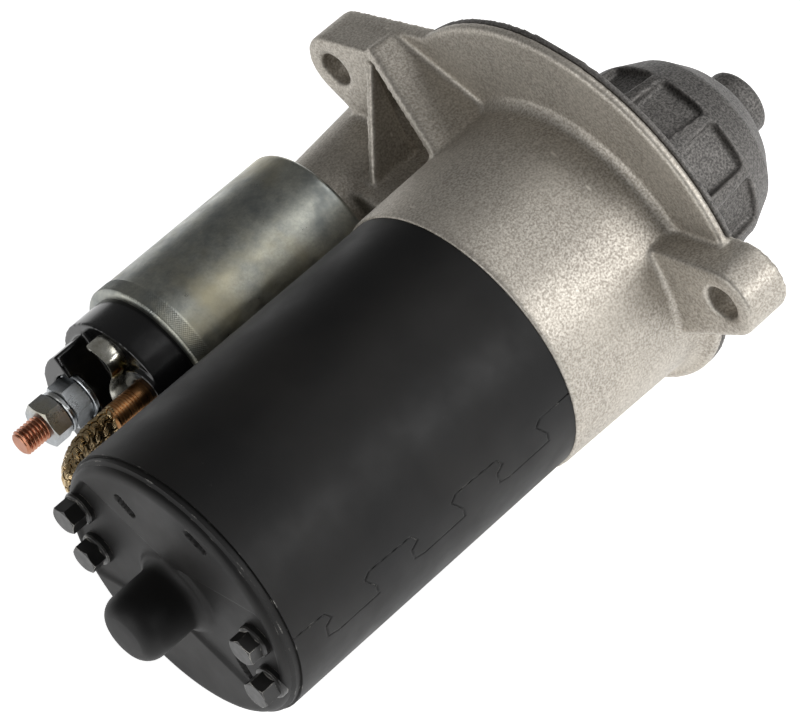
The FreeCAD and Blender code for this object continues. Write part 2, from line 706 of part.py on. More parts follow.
def build_output_shaft():
    """Stepped shaft with straight splines, stop collar and snap ring."""
    body = turned(
        "OutputShaftBlank",
        [
            (carrier_rear_x, S.pilot_journal_radius + S.running_gap), (carrier_rear_x, S.output_radius),
            (spline_end_x, S.output_radius), (spline_end_x, S.drive_shaft_radius),
            (journal_x, S.drive_shaft_radius), (journal_x, S.nose_journal_radius),
            (S.tip_x - 4.0, S.nose_journal_radius), (S.tip_x - 3.5, S.nose_journal_radius - 0.5),
            (S.tip_x - 3.5, as_size(0.0)), (carrier_front_x + 4.0, as_size(0.0)),
            (carrier_front_x + 4.0, S.pilot_journal_radius + S.running_gap),
        ],
    )
    start = float(plate_front_x) + 3.5
    length = float(spline_end_x) - start
    outer = Part.makeCylinder(float(S.output_radius) + 1.0, length, Vector(start, 0, 0), Vector(1, 0, 0))
    teeth = star_points(6, float(S.output_radius) + 2.0, 6.9, 0.42, 0.5)
    gaps = outer.cut(polygon_prism(teeth, start, length))
    keep("output_shaft", cut(body, made("SplineGaps", gaps), name="OutputShaft"))
    stop_x = S.pinion_rest_x + S.pinion_width + drive_travel + 1.2
    keep("stop_collar", tube(stop_x, stop_x + 4.0, 10.5, S.drive_shaft_radius, name="StopCollar"))
    ring = tube(stop_x + 4.0, stop_x + 5.2, S.drive_shaft_radius + 1.6, S.drive_shaft_radius, name="SnapRing")
    keep("snap_ring", ring)


def build_drive():
    """Overrunning clutch with its splined sleeve, shift collar, rollers and pinion."""
    shell_x = S.pinion_rest_x - 22.5
    front_x = S.pinion_rest_x - 2.5
    sleeve_x = shell_x - 18.0
    outer = rod(sleeve_x, shell_x, S.collar_radius - 5.0)
    start, length = float(sleeve_x), float(shell_x - sleeve_x)
    bore = Part.makeCylinder(
        float(S.output_radius) + float(S.free_gap), length, Vector(start, 0, 0), Vector(1, 0, 0)
    )
    key_length = 5.8
    keys = Part.makeCylinder(float(S.output_radius) + 1.0, key_length, Vector(start, 0, 0), Vector(1, 0, 0))
    keys = keys.cut(
        polygon_prism(star_points(6, float(S.output_radius) + 2.0, 7.25, 0.56, 0.62), start, key_length)
    )
    keys = keys.cut(Part.makeCylinder(7.25, key_length, Vector(start, 0, 0), Vector(1, 0, 0)))
    keep("clutch_sleeve", cut(outer, made("SleeveBore", bore.cut(keys)), name="ClutchSleeve"))
    keep(
        "clutch_shell",
        turned(
            "ClutchShell",
            [
                (shell_x, S.output_radius + S.free_gap), (shell_x, S.clutch_radius),
                (front_x - 2.0, S.clutch_radius), (front_x - 2.0, S.race_radius + 6.9),
                (shell_x + 3.0, S.race_radius + 6.9), (shell_x + 3.0, S.output_radius + S.free_gap),
            ],
        ),
    )
    keep(
        "clutch_cover",
        tube(front_x - 2.0, front_x, S.clutch_radius - 1.0, S.race_radius + S.free_gap, name="ClutchCover"),
    )
    rollers = []
    orbit = float(S.race_radius) + float(S.roller_radius) + 0.1
    count = int(float(S.roller_count))
    for index in range(count):
        angle = 2 * math.pi * index / count
        rollers.append(
            rod(
                shell_x + 4.0, front_x - 3.0, S.roller_radius,
                orbit * math.cos(angle), orbit * math.sin(angle),
            )
        )
    keep("clutch_rollers", group(*rollers, name="ClutchRollers"))
    lean = math.sin(math.radians(float(S.lever_rest_angle)))
    middle = float(S.lever_pivot_x) - float(S.lever_pivot_u) * lean
    half = S.groove_width / 2
    keep(
        "drive_collar",
        turned(
            "DriveCollar",
            [
                (middle - half - 1.9, S.collar_radius - 5.0), (middle - half - 1.9, S.collar_radius),
                (middle - half, S.collar_radius), (middle - half, S.groove_radius),
                (middle + half, S.groove_radius), (middle + half, S.collar_radius),
                (middle + half + 1.9, S.collar_radius), (middle + half + 1.9, S.collar_radius - 5.0),
            ],
        ),
    )
    keep("drive_pinion", made("DrivePinion", pinion_shape(float(shell_x) + 3.6)))


def pinion_shape(race_x):
    """Pinion with a tapered lead on its teeth, on the sleeve that the clutch rollers run on."""
    tip, root = float(S.pinion_tip_radius), float(S.pinion_root_radius)
    rest_x, width = float(S.pinion_rest_x), float(S.pinion_width)
    lead_length, round_tip = 3.6, tip + 0.4
    teeth = star_points(int(float(S.pinion_teeth)), tip, root, 0.24, 0.66)
    body = Part.makeCylinder(round_tip, width - lead_length, Vector(rest_x, 0, 0), ALONG)
    lead_x = rest_x + width - lead_length
    lead = Part.makeCone(round_tip, root + 1.4, lead_length, Vector(lead_x, 0, 0), ALONG)
    pinion = polygon_prism(teeth, rest_x, width).common(body.fuse(lead))
    race = Part.makeCylinder(float(S.race_radius), rest_x - race_x, Vector(race_x, 0, 0), ALONG)
    bore = float(S.drive_shaft_radius) + float(S.running_gap)
    hole = Part.makeCylinder(bore, rest_x + width - race_x + 2.0, Vector(race_x - 1.0, 0, 0), ALONG)
    return pinion.fuse(race).cut(hole).removeSplitter()


def lever_placement():
    """Tilts the lever to its rest position and turns it into the solenoid's plane."""
    pivot = Vector(float(S.lever_pivot_x), float(S.lever_pivot_u), 0)
    rest = Placement(Vector(0, 0, 0), Rotation(Vector(0, 0, 1), -float(S.lever_rest_angle)), pivot)
    return Placement(Vector(0, 0, 0), solenoid_plane).multiply(rest)


def build_lever():
    """Shift lever with two fork arms and pads, and the pin that it swings on."""
    x, u = float(S.lever_pivot_x), float(S.lever_pivot_u)
    half = float(S.lever_thick) / 2
    neck = half * 0.8
    reach = solenoid_distance
    inner = float(S.collar_radius) + 0.5
    outer = inner + 3.0
    pad_face, pin_radius = float(S.groove_radius) + 0.4, 3.0
    across = Vector(0, 0, 1)
    pieces = [
        Part.makeBox(2 * half, u - 20.0, 8.0, Vector(x - half, 20.0, -4.0)),
        Part.makeBox(2 * neck, reach - u, 2 * half, Vector(x - neck, u, -half)),
        Part.makeCylinder(4.0, 2 * half, Vector(x, reach, -half), across),
        Part.makeCylinder(6.2, 15.0, Vector(x, u, -7.5), across),
        Part.makeBox(2 * half, 4.5, 2 * outer, Vector(x - half, inner + 0.5, -outer)),
    ]
    for side in (1, -1):
        low = inner if side > 0 else -outer
        pieces.append(Part.makeBox(2 * half, inner + 4.5, outer - inner, Vector(x - half, -3.0, low)))
        pad_low = pad_face if side > 0 else -outer + 0.2
        pieces.append(Part.makeCylinder(2.8, outer - 0.2 - pad_face, Vector(x, 0, pad_low), across))
    bore = Part.makeCylinder(pin_radius + float(S.running_gap), 20.0, Vector(x, u, -10.0), across)
    lever = pieces[0].multiFuse(pieces[1:]).cut(bore)
    keep("shift_lever", made("ShiftLever", lever.removeSplitter(), lever_placement()))
    pin = Part.makeCylinder(pin_radius, 25.0, Vector(x, u, -11.0), across)
    keep("lever_pivot_pin", made("LeverPivotPin", pin, Placement(Vector(0, 0, 0), solenoid_plane)))


# ---------------------------------------------------------------- motor

def build_armature():
    """Shaft, laminated core, windings and commutator."""
    keep(
        "armature_shaft",
        turned(
            "ArmatureShaft",
            [
                (shaft_rear_x, as_size(0.0)), (shaft_rear_x, S.rear_journal_radius),
                (commutator_rear_x - 1.5, S.rear_journal_radius),
                (commutator_rear_x - 1.5, S.motor_shaft_radius),
                (gear_rear_x - 0.3, S.motor_shaft_radius), (gear_rear_x - 0.3, as_size(0.0)),
            ],
        ),
    )
    gear_end = gear_rear_x + S.gear_width + 0.2
    keep(
        "pilot_journal",
        rod(gear_end, carrier_front_x + 3.0, S.pilot_journal_radius, name="PilotJournal"),
    )
    count = int(float(S.slot_count))
    start, length = float(core_rear_x), float(S.core_length)
    outer, floor = float(S.core_radius), float(S.core_radius) - 8.5
    blank = Part.makeCylinder(outer, length, Vector(start, 0, 0), Vector(1, 0, 0))
    bore = Part.makeCylinder(float(S.motor_shaft_radius), length, Vector(start, 0, 0), Vector(1, 0, 0))
    slot = Part.makeBox(length, outer - floor + 1.0, 3.4, Vector(start, floor, -1.7))
    bar = Part.makeBox(length + 10.0, outer - floor - 1.0, 2.8, Vector(start - 5.0, floor + 0.2, -1.4))
    slots, bars = [], []
    for index in range(count):
        for shape, shapes in ((slot, slots), (bar, bars)):
            copy = shape.copy()
            copy.rotate(Vector(0, 0, 0), Vector(1, 0, 0), 360.0 * index / count)
            shapes.append(copy)
    keep("armature_core", made("ArmatureCore", blank.cut([bore] + slots)))
    rings = []
    for first in (start - 9.0, start + length + 1.0):
        ring = Part.makeCylinder(outer - 1.5, 8.0, Vector(first, 0, 0), Vector(1, 0, 0))
        ring = ring.cut(Part.makeCylinder(outer - 12.0, 8.0, Vector(first, 0, 0), Vector(1, 0, 0)))
        rims = [
            edge for edge in ring.Edges
            if abs(edge.BoundBox.YMax - outer + 1.5) < 0.01 and edge.BoundBox.XLength < 0.01
        ]
        rings.append(ring.makeFillet(3.0, rims))
    windings = rings[0].multiFuse([rings[1]] + bars).removeSplitter()
    keep("armature_windings", made("ArmatureWindings", windings))
    keep(
        "commutator",
        tube(
            commutator_rear_x, core_rear_x - 11.0, S.commutator_radius, S.motor_shaft_radius,
            name="Commutator",
        ),
    )


def build_motor_case():
    """Frame tube, magnets with their clips, end cap, rear bushing and the long bolts."""
    shell = tube(frame_rear_x, junction_x, S.frame_radius, S.frame_radius - S.frame_wall, name="FrameTube")
    notch = block(
        (frame_rear_x - 1.0, S.frame_radius - S.frame_wall - 3.0, as_size(-1.5)),
        (frame_rear_x + 8.0, S.frame_radius + 2.0, as_size(7.5)),
    )
    keep("field_frame", cut(shell, notch, name="FieldFrame"))
    inner = float(S.frame_radius - S.frame_wall)
    count = int(float(S.magnet_count))
    bolt_angle = math.degrees(math.atan2(float(S.motor_bolt_z), float(S.motor_bolt_y)))
    start, end = float(core_rear_x) - 4.0, float(core_front_x) + 4.0
    magnets, clips = [], []
    for index in range(count):
        middle = bolt_angle + 360.0 * (index + 0.5) / count
        magnets.append(wedge(start, end, inner - float(S.magnet_thick), inner, middle, float(S.magnet_arc)))
        gap = bolt_angle + 360.0 * index / count
        if index % (count // 2):
            clips.append(wedge(start + 6.0, end - 6.0, inner - 1.2, inner, gap, 10.0))
    keep("field_magnets", made("FieldMagnets", Part.makeCompound(magnets)))
    keep("magnet_clips", made("MagnetClips", Part.makeCompound(clips)))

    rim_face_x = frame_rear_x - S.cap_rim_width
    cap = turned(
        "EndCapBlank",
        [
            (frame_rear_x, S.frame_radius - S.frame_wall), (frame_rear_x, S.cap_rim_radius),
            (rim_face_x, S.cap_rim_radius), (cap_face_x, S.cap_rim_radius - 3.0),
            (cap_face_x, S.boss_radius + 2.5), (cap_face_x - 2.5, S.boss_radius),
            (-S.boss_end + 4.5, S.boss_radius), (-S.boss_end + 1.2, S.boss_radius - 2.2),
            (-S.boss_end, S.boss_radius - 5.0), (-S.boss_end, as_size(0.0)),
            (-S.boss_end + 2.2, as_size(0.0)), (-S.boss_end + 2.2, S.boss_radius - S.boss_wall),
            (cap_face_x + S.cap_wall, S.boss_radius - S.boss_wall),
            (cap_face_x + S.cap_wall, S.cap_rim_radius - 5.0),
            (frame_rear_x, S.frame_radius - S.frame_wall - 1.2),
            (frame_rear_x + 3.0, S.frame_radius - S.frame_wall - 1.2),
            (frame_rear_x + 3.0, S.frame_radius - S.frame_wall),
        ],
    )
    holes = []
    bolts, screws = [], []
    for side in (1, -1):
        y, z = side * S.motor_bolt_y, side * S.motor_bolt_z
        holes.append(rod(cap_face_x - 1.0, frame_rear_x + 4.0, S.motor_bolt_radius + S.free_gap, y, z))
        head = hexagon(cap_face_x - 6.4, cap_face_x - 1.2, S.head_flats, y, z, turn=12.0)
        flange = rod(cap_face_x - 1.2, cap_face_x, S.head_flats / 2 + 1.3, y, z)
        shank = rod(cap_face_x, junction_x + 12.0, S.motor_bolt_radius, y, z)
        bolts.append(fuse(head, flange, shank, name="MotorBolt"))
        y, z = side * S.brush_screw_y, side * S.brush_screw_z
        holes.append(rod(cap_face_x - 1.0, frame_rear_x + 4.0, 2.0 + S.free_gap, y, z))
        head = hexagon(cap_face_x - 5.6, cap_face_x - 1.2, S.head_flats, y, z, turn=25.0)
        flange = rod(cap_face_x - 1.2, cap_face_x, S.head_flats / 2 + 0.8, y, z)
        shank = rod(cap_face_x, brush_plate_x + 1.5, 2.0, y, z)
        screws.append(fuse(head, flange, shank, name="BrushScrew"))
    holes.append(
        block(
            (frame_rear_x - 0.5, S.frame_radius - S.frame_wall - 4.0, as_size(-1.5)),
            (frame_rear_x + 4.0, S.frame_radius, as_size(7.5)),
        )
    )
    keep("end_cap", cut(cap, *holes, name="EndCap"))
    keep("through_bolts", group(*bolts, name="ThroughBolts"))
    keep("brush_plate_screws", group(*screws, name="BrushPlateScrews"))
    keep(
        "rear_bushing",
        tube(
            -S.boss_end + 2.4, cap_face_x + S.cap_wall, S.boss_radius - S.boss_wall,
            S.rear_journal_radius + S.running_gap, name="RearBushing",
        ),
    )


def build_brushes():
    """Brush plate with four holders, carbon brushes and their springs."""
    radius = S.frame_radius - S.frame_wall - 1.5
    plate = tube(brush_plate_x, brush_plate_x + 1.5, radius, S.commutator_radius + 2.0, name="PlateDisc")
    holes = []
    for side in (1, -1):
        holes.append(
            rod(
                brush_plate_x - 1.0, brush_plate_x + 3.0, S.motor_bolt_radius + 1.0,
                side * S.motor_bolt_y, side * S.motor_bolt_z,
            )
        )
        holes.append(
            rod(
                brush_plate_x - 1.0, brush_plate_x + 3.0, 2.0,
                side * S.brush_screw_y, side * S.brush_screw_z,
            )
        )
    keep("brush_plate", cut(plate, *holes, name="BrushPlate"))
    base = float(brush_plate_x) + 1.5
    first = float(S.commutator_radius) + 1.5
    last = float(S.frame_radius - S.frame_wall) - 7.5
    box = Part.makeBox(12.4, last - first, 9.4, Vector(base, first, -4.7))
    box = box.cut(Part.makeBox(10.0, last - first - 1.2, 7.0, Vector(base + 1.2, first, -3.5)))
    brush_end = float(S.commutator_radius) + 0.1 + 11.0
    brush = Part.makeBox(9.6, 11.0, 6.6, Vector(base + 1.4, float(S.commutator_radius) + 0.1, -3.3))
    spring = coil(last - 1.2 - brush_end, 2.2, 0.45, 4)
    spring.rotate(Vector(0, 0, 0), Vector(1, 0, 0), -90)
    spring.translate(Vector(base + 6.2, brush_end, 0))
    kinds = {"brush_holders": box, "brushes": brush, "brush_springs": spring}
    for node, shape in kinds.items():
        copies = []
        for angle in (50, 140, 230, 320):
            copy = shape.copy()
            copy.rotate(Vector(0, 0, 0), Vector(1, 0, 0), angle)
            copies.append(copy)
        keep(node, made(node.title().replace("_", ""), Part.makeCompound(copies)))


# ---------------------------------------------------------------- solenoid

def on_solenoid_rod(start, end, radius, y=0.0, z=0.0):
    """A cylinder parallel to the shaft, measured from the solenoid's own axis."""
    return rod(start, end, radius, S.solenoid_y + y, S.solenoid_z + z)


def build_solenoid():
    """Steel case, windings on a bobbin, stationary core and moulded terminal cap."""
    inner = S.solenoid_radius - S.solenoid_wall
    case = cut(
        fuse(
            on_solenoid_rod(solenoid_rear_x, solenoid_front_x, S.solenoid_radius),
            on_solenoid_rod(solenoid_rear_x - 1.2, solenoid_rear_x, S.solenoid_radius - 0.6),
        ),
        on_solenoid_rod(solenoid_rear_x, solenoid_front_x - 3.0, inner),
        on_solenoid_rod(solenoid_rear_x - 2.0, solenoid_rear_x + 1.0, S.cap_body_radius),
        on_solenoid_rod(solenoid_front_x - 4.0, solenoid_front_x + 1.0, S.plunger_radius + S.free_gap),
        *[
            on_solenoid_rod(solenoid_front_x - 2.0, solenoid_front_x + 1.0, S.solenoid_screw_radius, y, z)
            for y, z in solenoid_screw_places()
        ],
        name="SolenoidCase",
    )
    keep("solenoid_case", case)
    screws = []
    seat_x = solenoid_front_x + 7.0
    for y, z in solenoid_screw_places():
        head = on_solenoid_rod(seat_x, seat_x + 4.0, 4.2, y, z)
        shank = on_solenoid_rod(solenoid_front_x - 2.0, seat_x, S.solenoid_screw_radius, y, z)
        screws.append(fuse(head, shank, name="SolenoidScrew"))
    keep("solenoid_screws", group(*screws, name="SolenoidScrews"))

    back_plate_x = solenoid_rear_x + 6.0
    coil_front, coil_rear = solenoid_front_x - 3.0, back_plate_x + 3.0
    bore = S.plunger_radius + S.running_gap
    bobbin = fuse(
        on_solenoid_rod(coil_rear, coil_front, bore + 1.2),
        on_solenoid_rod(coil_rear, coil_rear + 2.0, inner - 0.2),
        on_solenoid_rod(coil_front - 2.0, coil_front, inner - 0.2),
    )
    keep("coil_bobbin", cut(bobbin, on_solenoid_rod(coil_rear, coil_front, bore), name="CoilBobbin"))
    first, last = coil_rear + 2.0, coil_front - 2.0
    keep(
        "pull_in_winding",
        tube(first, last, bore + 6.2, bore + 1.2, S.solenoid_y, S.solenoid_z, name="PullInWinding"),
    )
    keep(
        "hold_in_winding",
        tube(first, last, inner - 0.8, bore + 6.2, S.solenoid_y, S.solenoid_z, name="HoldInWinding"),
    )
    core_face_x = plunger_rear_x - S.plunger_travel - 0.2
    keep(
        "stationary_core",
        cut(
            fuse(
                on_solenoid_rod(back_plate_x + 2.0, core_face_x, S.plunger_radius),
                on_solenoid_rod(back_plate_x, coil_rear, inner),
            ),
            on_solenoid_rod(back_plate_x - 1.0, core_face_x + 1.0, 3.0 + S.free_gap),
            name="StationaryCore",
        ),
    )
    build_terminal_cap(back_plate_x, inner)
    build_plunger()


def build_terminal_cap(back_plate_x, inner):
    """Black moulded cap: round skirt, raised block round the battery stud, lower block beside it."""
    step_x, end_x, floor_x = -S.cap_step_x, -S.cap_end_x, -S.tower_floor_x
    washer_radius = S.nut_flats / 2 + 1.2
    skirt = fuse(
        on_solenoid_rod(step_x, back_plate_x, S.cap_body_radius),
        on_solenoid_rod(solenoid_rear_x, back_plate_x, inner),
    )
    tower = overlap(
        on_solenoid_rod(end_x, step_x, S.cap_body_radius - 3.4),
        made(
            "TowerBlock",
            Part.makeBox(
                float(step_x - end_x), 24.0, 50.0, Vector(float(end_x), -0.5, -25.0)
            ),
            Placement(
                Vector(0, float(S.solenoid_y), float(S.solenoid_z)), Rotation(Vector(1, 0, 0), -40.5)
            ),
        ),
        name="Tower",
    )
    lower = on_solenoid_rod(step_x - 1.7, step_x, 8.0, S.terminal_y, S.terminal_z)
    cap = cut(
        fuse(skirt, tower, lower, name="CapSolid"),
        on_solenoid_rod(contact_floor_x, back_plate_x, S.cap_body_radius - 2.6),
        on_solenoid_rod(end_x - 1.0, floor_x, washer_radius + 0.3, S.stud_y, S.stud_z),
        on_solenoid_rod(end_x - 1.0, back_plate_x, S.stud_radius, S.stud_y, S.stud_z),
        on_solenoid_rod(end_x - 1.0, back_plate_x, S.stud_radius, S.terminal_y, S.terminal_z),
        name="SolenoidCap",
    )
    keep("solenoid_cap", cap)
    stud = fuse(
        on_solenoid_rod(contact_floor_x, contact_floor_x + 3.0, 4.7, S.stud_y, S.stud_z),
        on_solenoid_rod(-S.stud_tip_x + 0.8, contact_floor_x, S.stud_radius, S.stud_y, S.stud_z),
        taper(
            -S.stud_tip_x, -S.stud_tip_x + 0.8, S.stud_radius - 0.8, S.stud_radius,
            S.solenoid_y + S.stud_y, S.solenoid_z + S.stud_z,
        ),
        name="BatteryStud",
    )
    keep("battery_stud", stud)
    washer_x = floor_x - 1.8
    inner_nut_x = washer_x - S.nut_thick
    spring_x = inner_nut_x - 2.0
    outer_nut_x = spring_x - S.nut_thick
    y, z = S.solenoid_y + S.stud_y, S.solenoid_z + S.stud_z
    keep("stud_washer", tube(washer_x, floor_x, washer_radius, S.stud_radius, y, z, name="StudWasher"))
    nuts = []
    for first, turn in ((inner_nut_x, 8.0), (outer_nut_x, 22.0)):
        hexa = hexagon(first, first + S.nut_thick, S.nut_flats, y, z, turn=turn)
        thread = rod(first - 1.0, first + S.nut_thick + 1.0, S.stud_radius, y, z)
        nuts.append(cut(hexa, thread, name="StudNut"))
    keep("battery_nuts", group(*nuts, name="BatteryNuts"))
    split = block((spring_x - 1.0, y, z), (inner_nut_x + 1.0, y + 9.0, z + 1.2))
    ring = tube(spring_x, inner_nut_x, 6.9, S.stud_radius, y, z)
    keep("spring_washer", cut(ring, split, name="SpringWasher"))
    keep(
        "motor_terminal",
        fuse(
            on_solenoid_rod(contact_floor_x, contact_floor_x + 3.0, 4.7, S.terminal_y, S.terminal_z),
            on_solenoid_rod(-S.terminal_tip_x, contact_floor_x, S.stud_radius, S.terminal_y, S.terminal_z),
            name="MotorTerminal",
        ),
    )
    build_spade(step_x)


def build_spade(step_x):
    """Bent switch terminal: a strip standing on edge on the cap's face, wound in an S."""
    path = [
        (4.1, 22.1), (0.5, 22.4), (-3.9, 20.9), (-5.5, 16.8), (-3.6, 11.5), (-2.5, 6.8),
        (-3.8, 1.6), (-8.7, -1.5),
    ]
    axis = Vector(float(step_x), float(S.solenoid_y), float(S.solenoid_z))
    curve = Part.BSplineCurve()
    curve.interpolate([axis + Vector(0, *place) for place in path])
    first, last, steps, half = curve.FirstParameter, curve.LastParameter, 32, 0.4
    near, far = [], []
    for index in range(steps + 1):
        place = first + (last - first) * index / steps
        out = ALONG.cross(curve.tangent(place)[0]).normalize() * half
        near.append(curve.value(place) + out)
        far.insert(0, curve.value(place) - out)
    outline = near + far
    strip = Part.Face(Part.makePolygon(outline + outline[:1]))
    keep("spade_terminal", made("SpadeTerminal", strip.extrude(ALONG * -6.2)))


def build_plunger():
    """Plunger with its slotted end, contact rod and bridge disc, and the return spring."""
    lever_x = S.lever_pivot_x + (solenoid_distance - S.lever_pivot_u) * math.sin(
        math.radians(float(S.lever_rest_angle))
    )
    head = made(
        "PlungerHead",
        Part.makeBox(13.0, 16.0, 13.0, Vector(float(lever_x) - 6.5, -8.0, -6.5)),
        Placement(Vector(0, float(S.solenoid_y), float(S.solenoid_z)), solenoid_plane),
    )
    slot = made(
        "PlungerSlot",
        Part.makeBox(8.5, 14.0, 6.8, Vector(float(lever_x) - 4.25, -9.0, -3.4)),
        Placement(Vector(0, float(S.solenoid_y), float(S.solenoid_z)), solenoid_plane),
    )
    seat_x = lever_x - 8.2
    body = fuse(
        on_solenoid_rod(plunger_rear_x, solenoid_front_x + 7.0, S.plunger_radius),
        on_solenoid_rod(solenoid_front_x + 7.0, seat_x, 4.5),
        on_solenoid_rod(seat_x, seat_x + 1.7, S.snout_bore - 0.6),
        head,
        name="PlungerSolid",
    )
    keep("plunger", cut(body, slot, name="Plunger"))
    keep("contact_rod", on_solenoid_rod(solenoid_rear_x + 1.0, plunger_rear_x, 3.0))
    disc_x = contact_floor_x + 3.0 + S.plunger_travel + 0.2
    disc = cut(
        on_solenoid_rod(disc_x, disc_x + 1.5, 17.0), on_solenoid_rod(disc_x, disc_x + 1.5, 3.0),
        name="ContactDisc",
    )
    keep("contact_disc", disc)
    length = float(seat_x) - float(solenoid_front_x)
    spring = coil(length, float(S.snout_bore) - 1.4, 0.7, 5)
    spring.rotate(Vector(0, 0, 0), Vector(0, 1, 0), 90)
    spring.translate(Vector(float(solenoid_front_x), float(S.solenoid_y), float(S.solenoid_z)))
    keep("return_spring", made("ReturnSpring", spring))


# ---------------------------------------------------------------- motor lead

def rounded_route(points, radius):
    """Straight runs joined by tangent arcs of the given radius, as one wire."""
    edges = []
    last = points[0]
    for before, corner, after in zip(points, points[1:], points[2:]):
        back, ahead = (before - corner).normalize(), (after - corner).normalize()
        half = back.getAngle(ahead) / 2
        reach = radius / math.tan(half)
        start, end = corner + back * reach, corner + ahead * reach
        middle_way = (back + ahead).normalize()
        centre = corner + middle_way * (radius / math.sin(half))
        edges.append(Part.LineSegment(last, start).toShape())
        edges.append(Part.Arc(start, centre - middle_way * radius, end).toShape())
        last = end
    edges.append(Part.LineSegment(last, points[-1]).toShape())
    return Part.Wire(edges)


def build_strap():
    """Braided copper lead from the motor terminal into the frame, with its rubber grommet."""
    y, z = float(S.solenoid_y + S.terminal_y), float(S.solenoid_z + S.terminal_z)
    reach = float(S.frame_radius)
    start = Vector(-float(S.terminal_tip_x), y, z)
    entry_x, entry_z = float(frame_rear_x) + 3.5, 3.0
    route = [
        start, start + Vector(-9.0, 0.0, 0.0), start + Vector(-17.5, -5.0, 3.0),
        Vector(entry_x, reach + 5.0, entry_z), Vector(entry_x, reach - 2.0, entry_z),
    ]
    path = rounded_route(route, 4.2)
    direction = (route[1] - route[0]).normalize()
    ring = Part.Wire(Part.makeCircle(float(S.strap_radius), start, direction))
    keep("motor_lead", made("MotorLead", path.makePipeShell([ring], True, False)))
    low = Vector(float(frame_rear_x), reach - float(S.frame_wall), -1.5)
    pad = Part.makeBox(8.0, float(S.frame_wall) + 1.4, 9.0, low)
    hole = Part.makeCylinder(
        float(S.strap_radius), 12.0, Vector(entry_x, reach - 6.0, entry_z), Vector(0, 1, 0)
    )
    keep("lead_grommet", made("LeadGrommet", pad.cut(hole)))


# ---------------------------------------------------------------- build, check and write

build_housing()
build_nose()
build_gears()
build_output_shaft()
build_drive()
build_lever()
build_armature()
build_motor_case()
build_brushes()
build_solenoid()
build_strap()
doc.recompute()

failed = [obj.Label for obj in doc.Objects if "Invalid" in obj.State or "Error" in obj.State]
if failed:
    raise RuntimeError(f"objects that did not recompute: {failed}")
for node, obj in PARTS.items():
    if obj.Shape.isNull() or not obj.Shape.isValid() or not obj.Shape.Solids:
        raise RuntimeError(f"{node} is not a valid solid")

os.makedirs("parts", exist_ok=True)
for node, obj in PARTS.items():
    obj.Shape.exportStep(f"parts/{node}.step")
print(f"{len(PARTS)} sub-parts written")
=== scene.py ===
"""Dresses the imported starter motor: finer meshes, cast, painted and plated finishes, and a pale studio."""

import json
import logging
import math
from dataclasses import dataclass, field
from enum import Enum

import bmesh
import bpy
from mathutils import Matrix, Vector, noise

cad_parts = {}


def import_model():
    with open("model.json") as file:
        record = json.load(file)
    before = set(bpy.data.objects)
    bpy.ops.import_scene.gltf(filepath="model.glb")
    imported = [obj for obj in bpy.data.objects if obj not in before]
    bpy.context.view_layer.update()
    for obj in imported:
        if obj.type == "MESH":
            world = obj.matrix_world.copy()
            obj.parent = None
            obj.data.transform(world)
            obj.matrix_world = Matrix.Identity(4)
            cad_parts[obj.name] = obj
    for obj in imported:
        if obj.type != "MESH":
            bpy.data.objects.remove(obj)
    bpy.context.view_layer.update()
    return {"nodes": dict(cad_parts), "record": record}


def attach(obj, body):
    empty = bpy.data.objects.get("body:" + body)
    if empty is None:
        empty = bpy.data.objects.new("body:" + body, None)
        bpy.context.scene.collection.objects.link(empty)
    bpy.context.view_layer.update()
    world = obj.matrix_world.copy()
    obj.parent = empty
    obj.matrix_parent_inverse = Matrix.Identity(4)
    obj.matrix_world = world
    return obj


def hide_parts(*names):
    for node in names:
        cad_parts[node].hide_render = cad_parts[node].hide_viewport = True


log = logging.getLogger("starter")
MM = 0.001
X_AXIS = Vector((1.0, 0.0, 0.0))


def mm(*values: float) -> Vector:
    """A point given in millimetres, in metres."""
    return Vector(values) * MM


# ------------------------------------------------------------------ node helpers


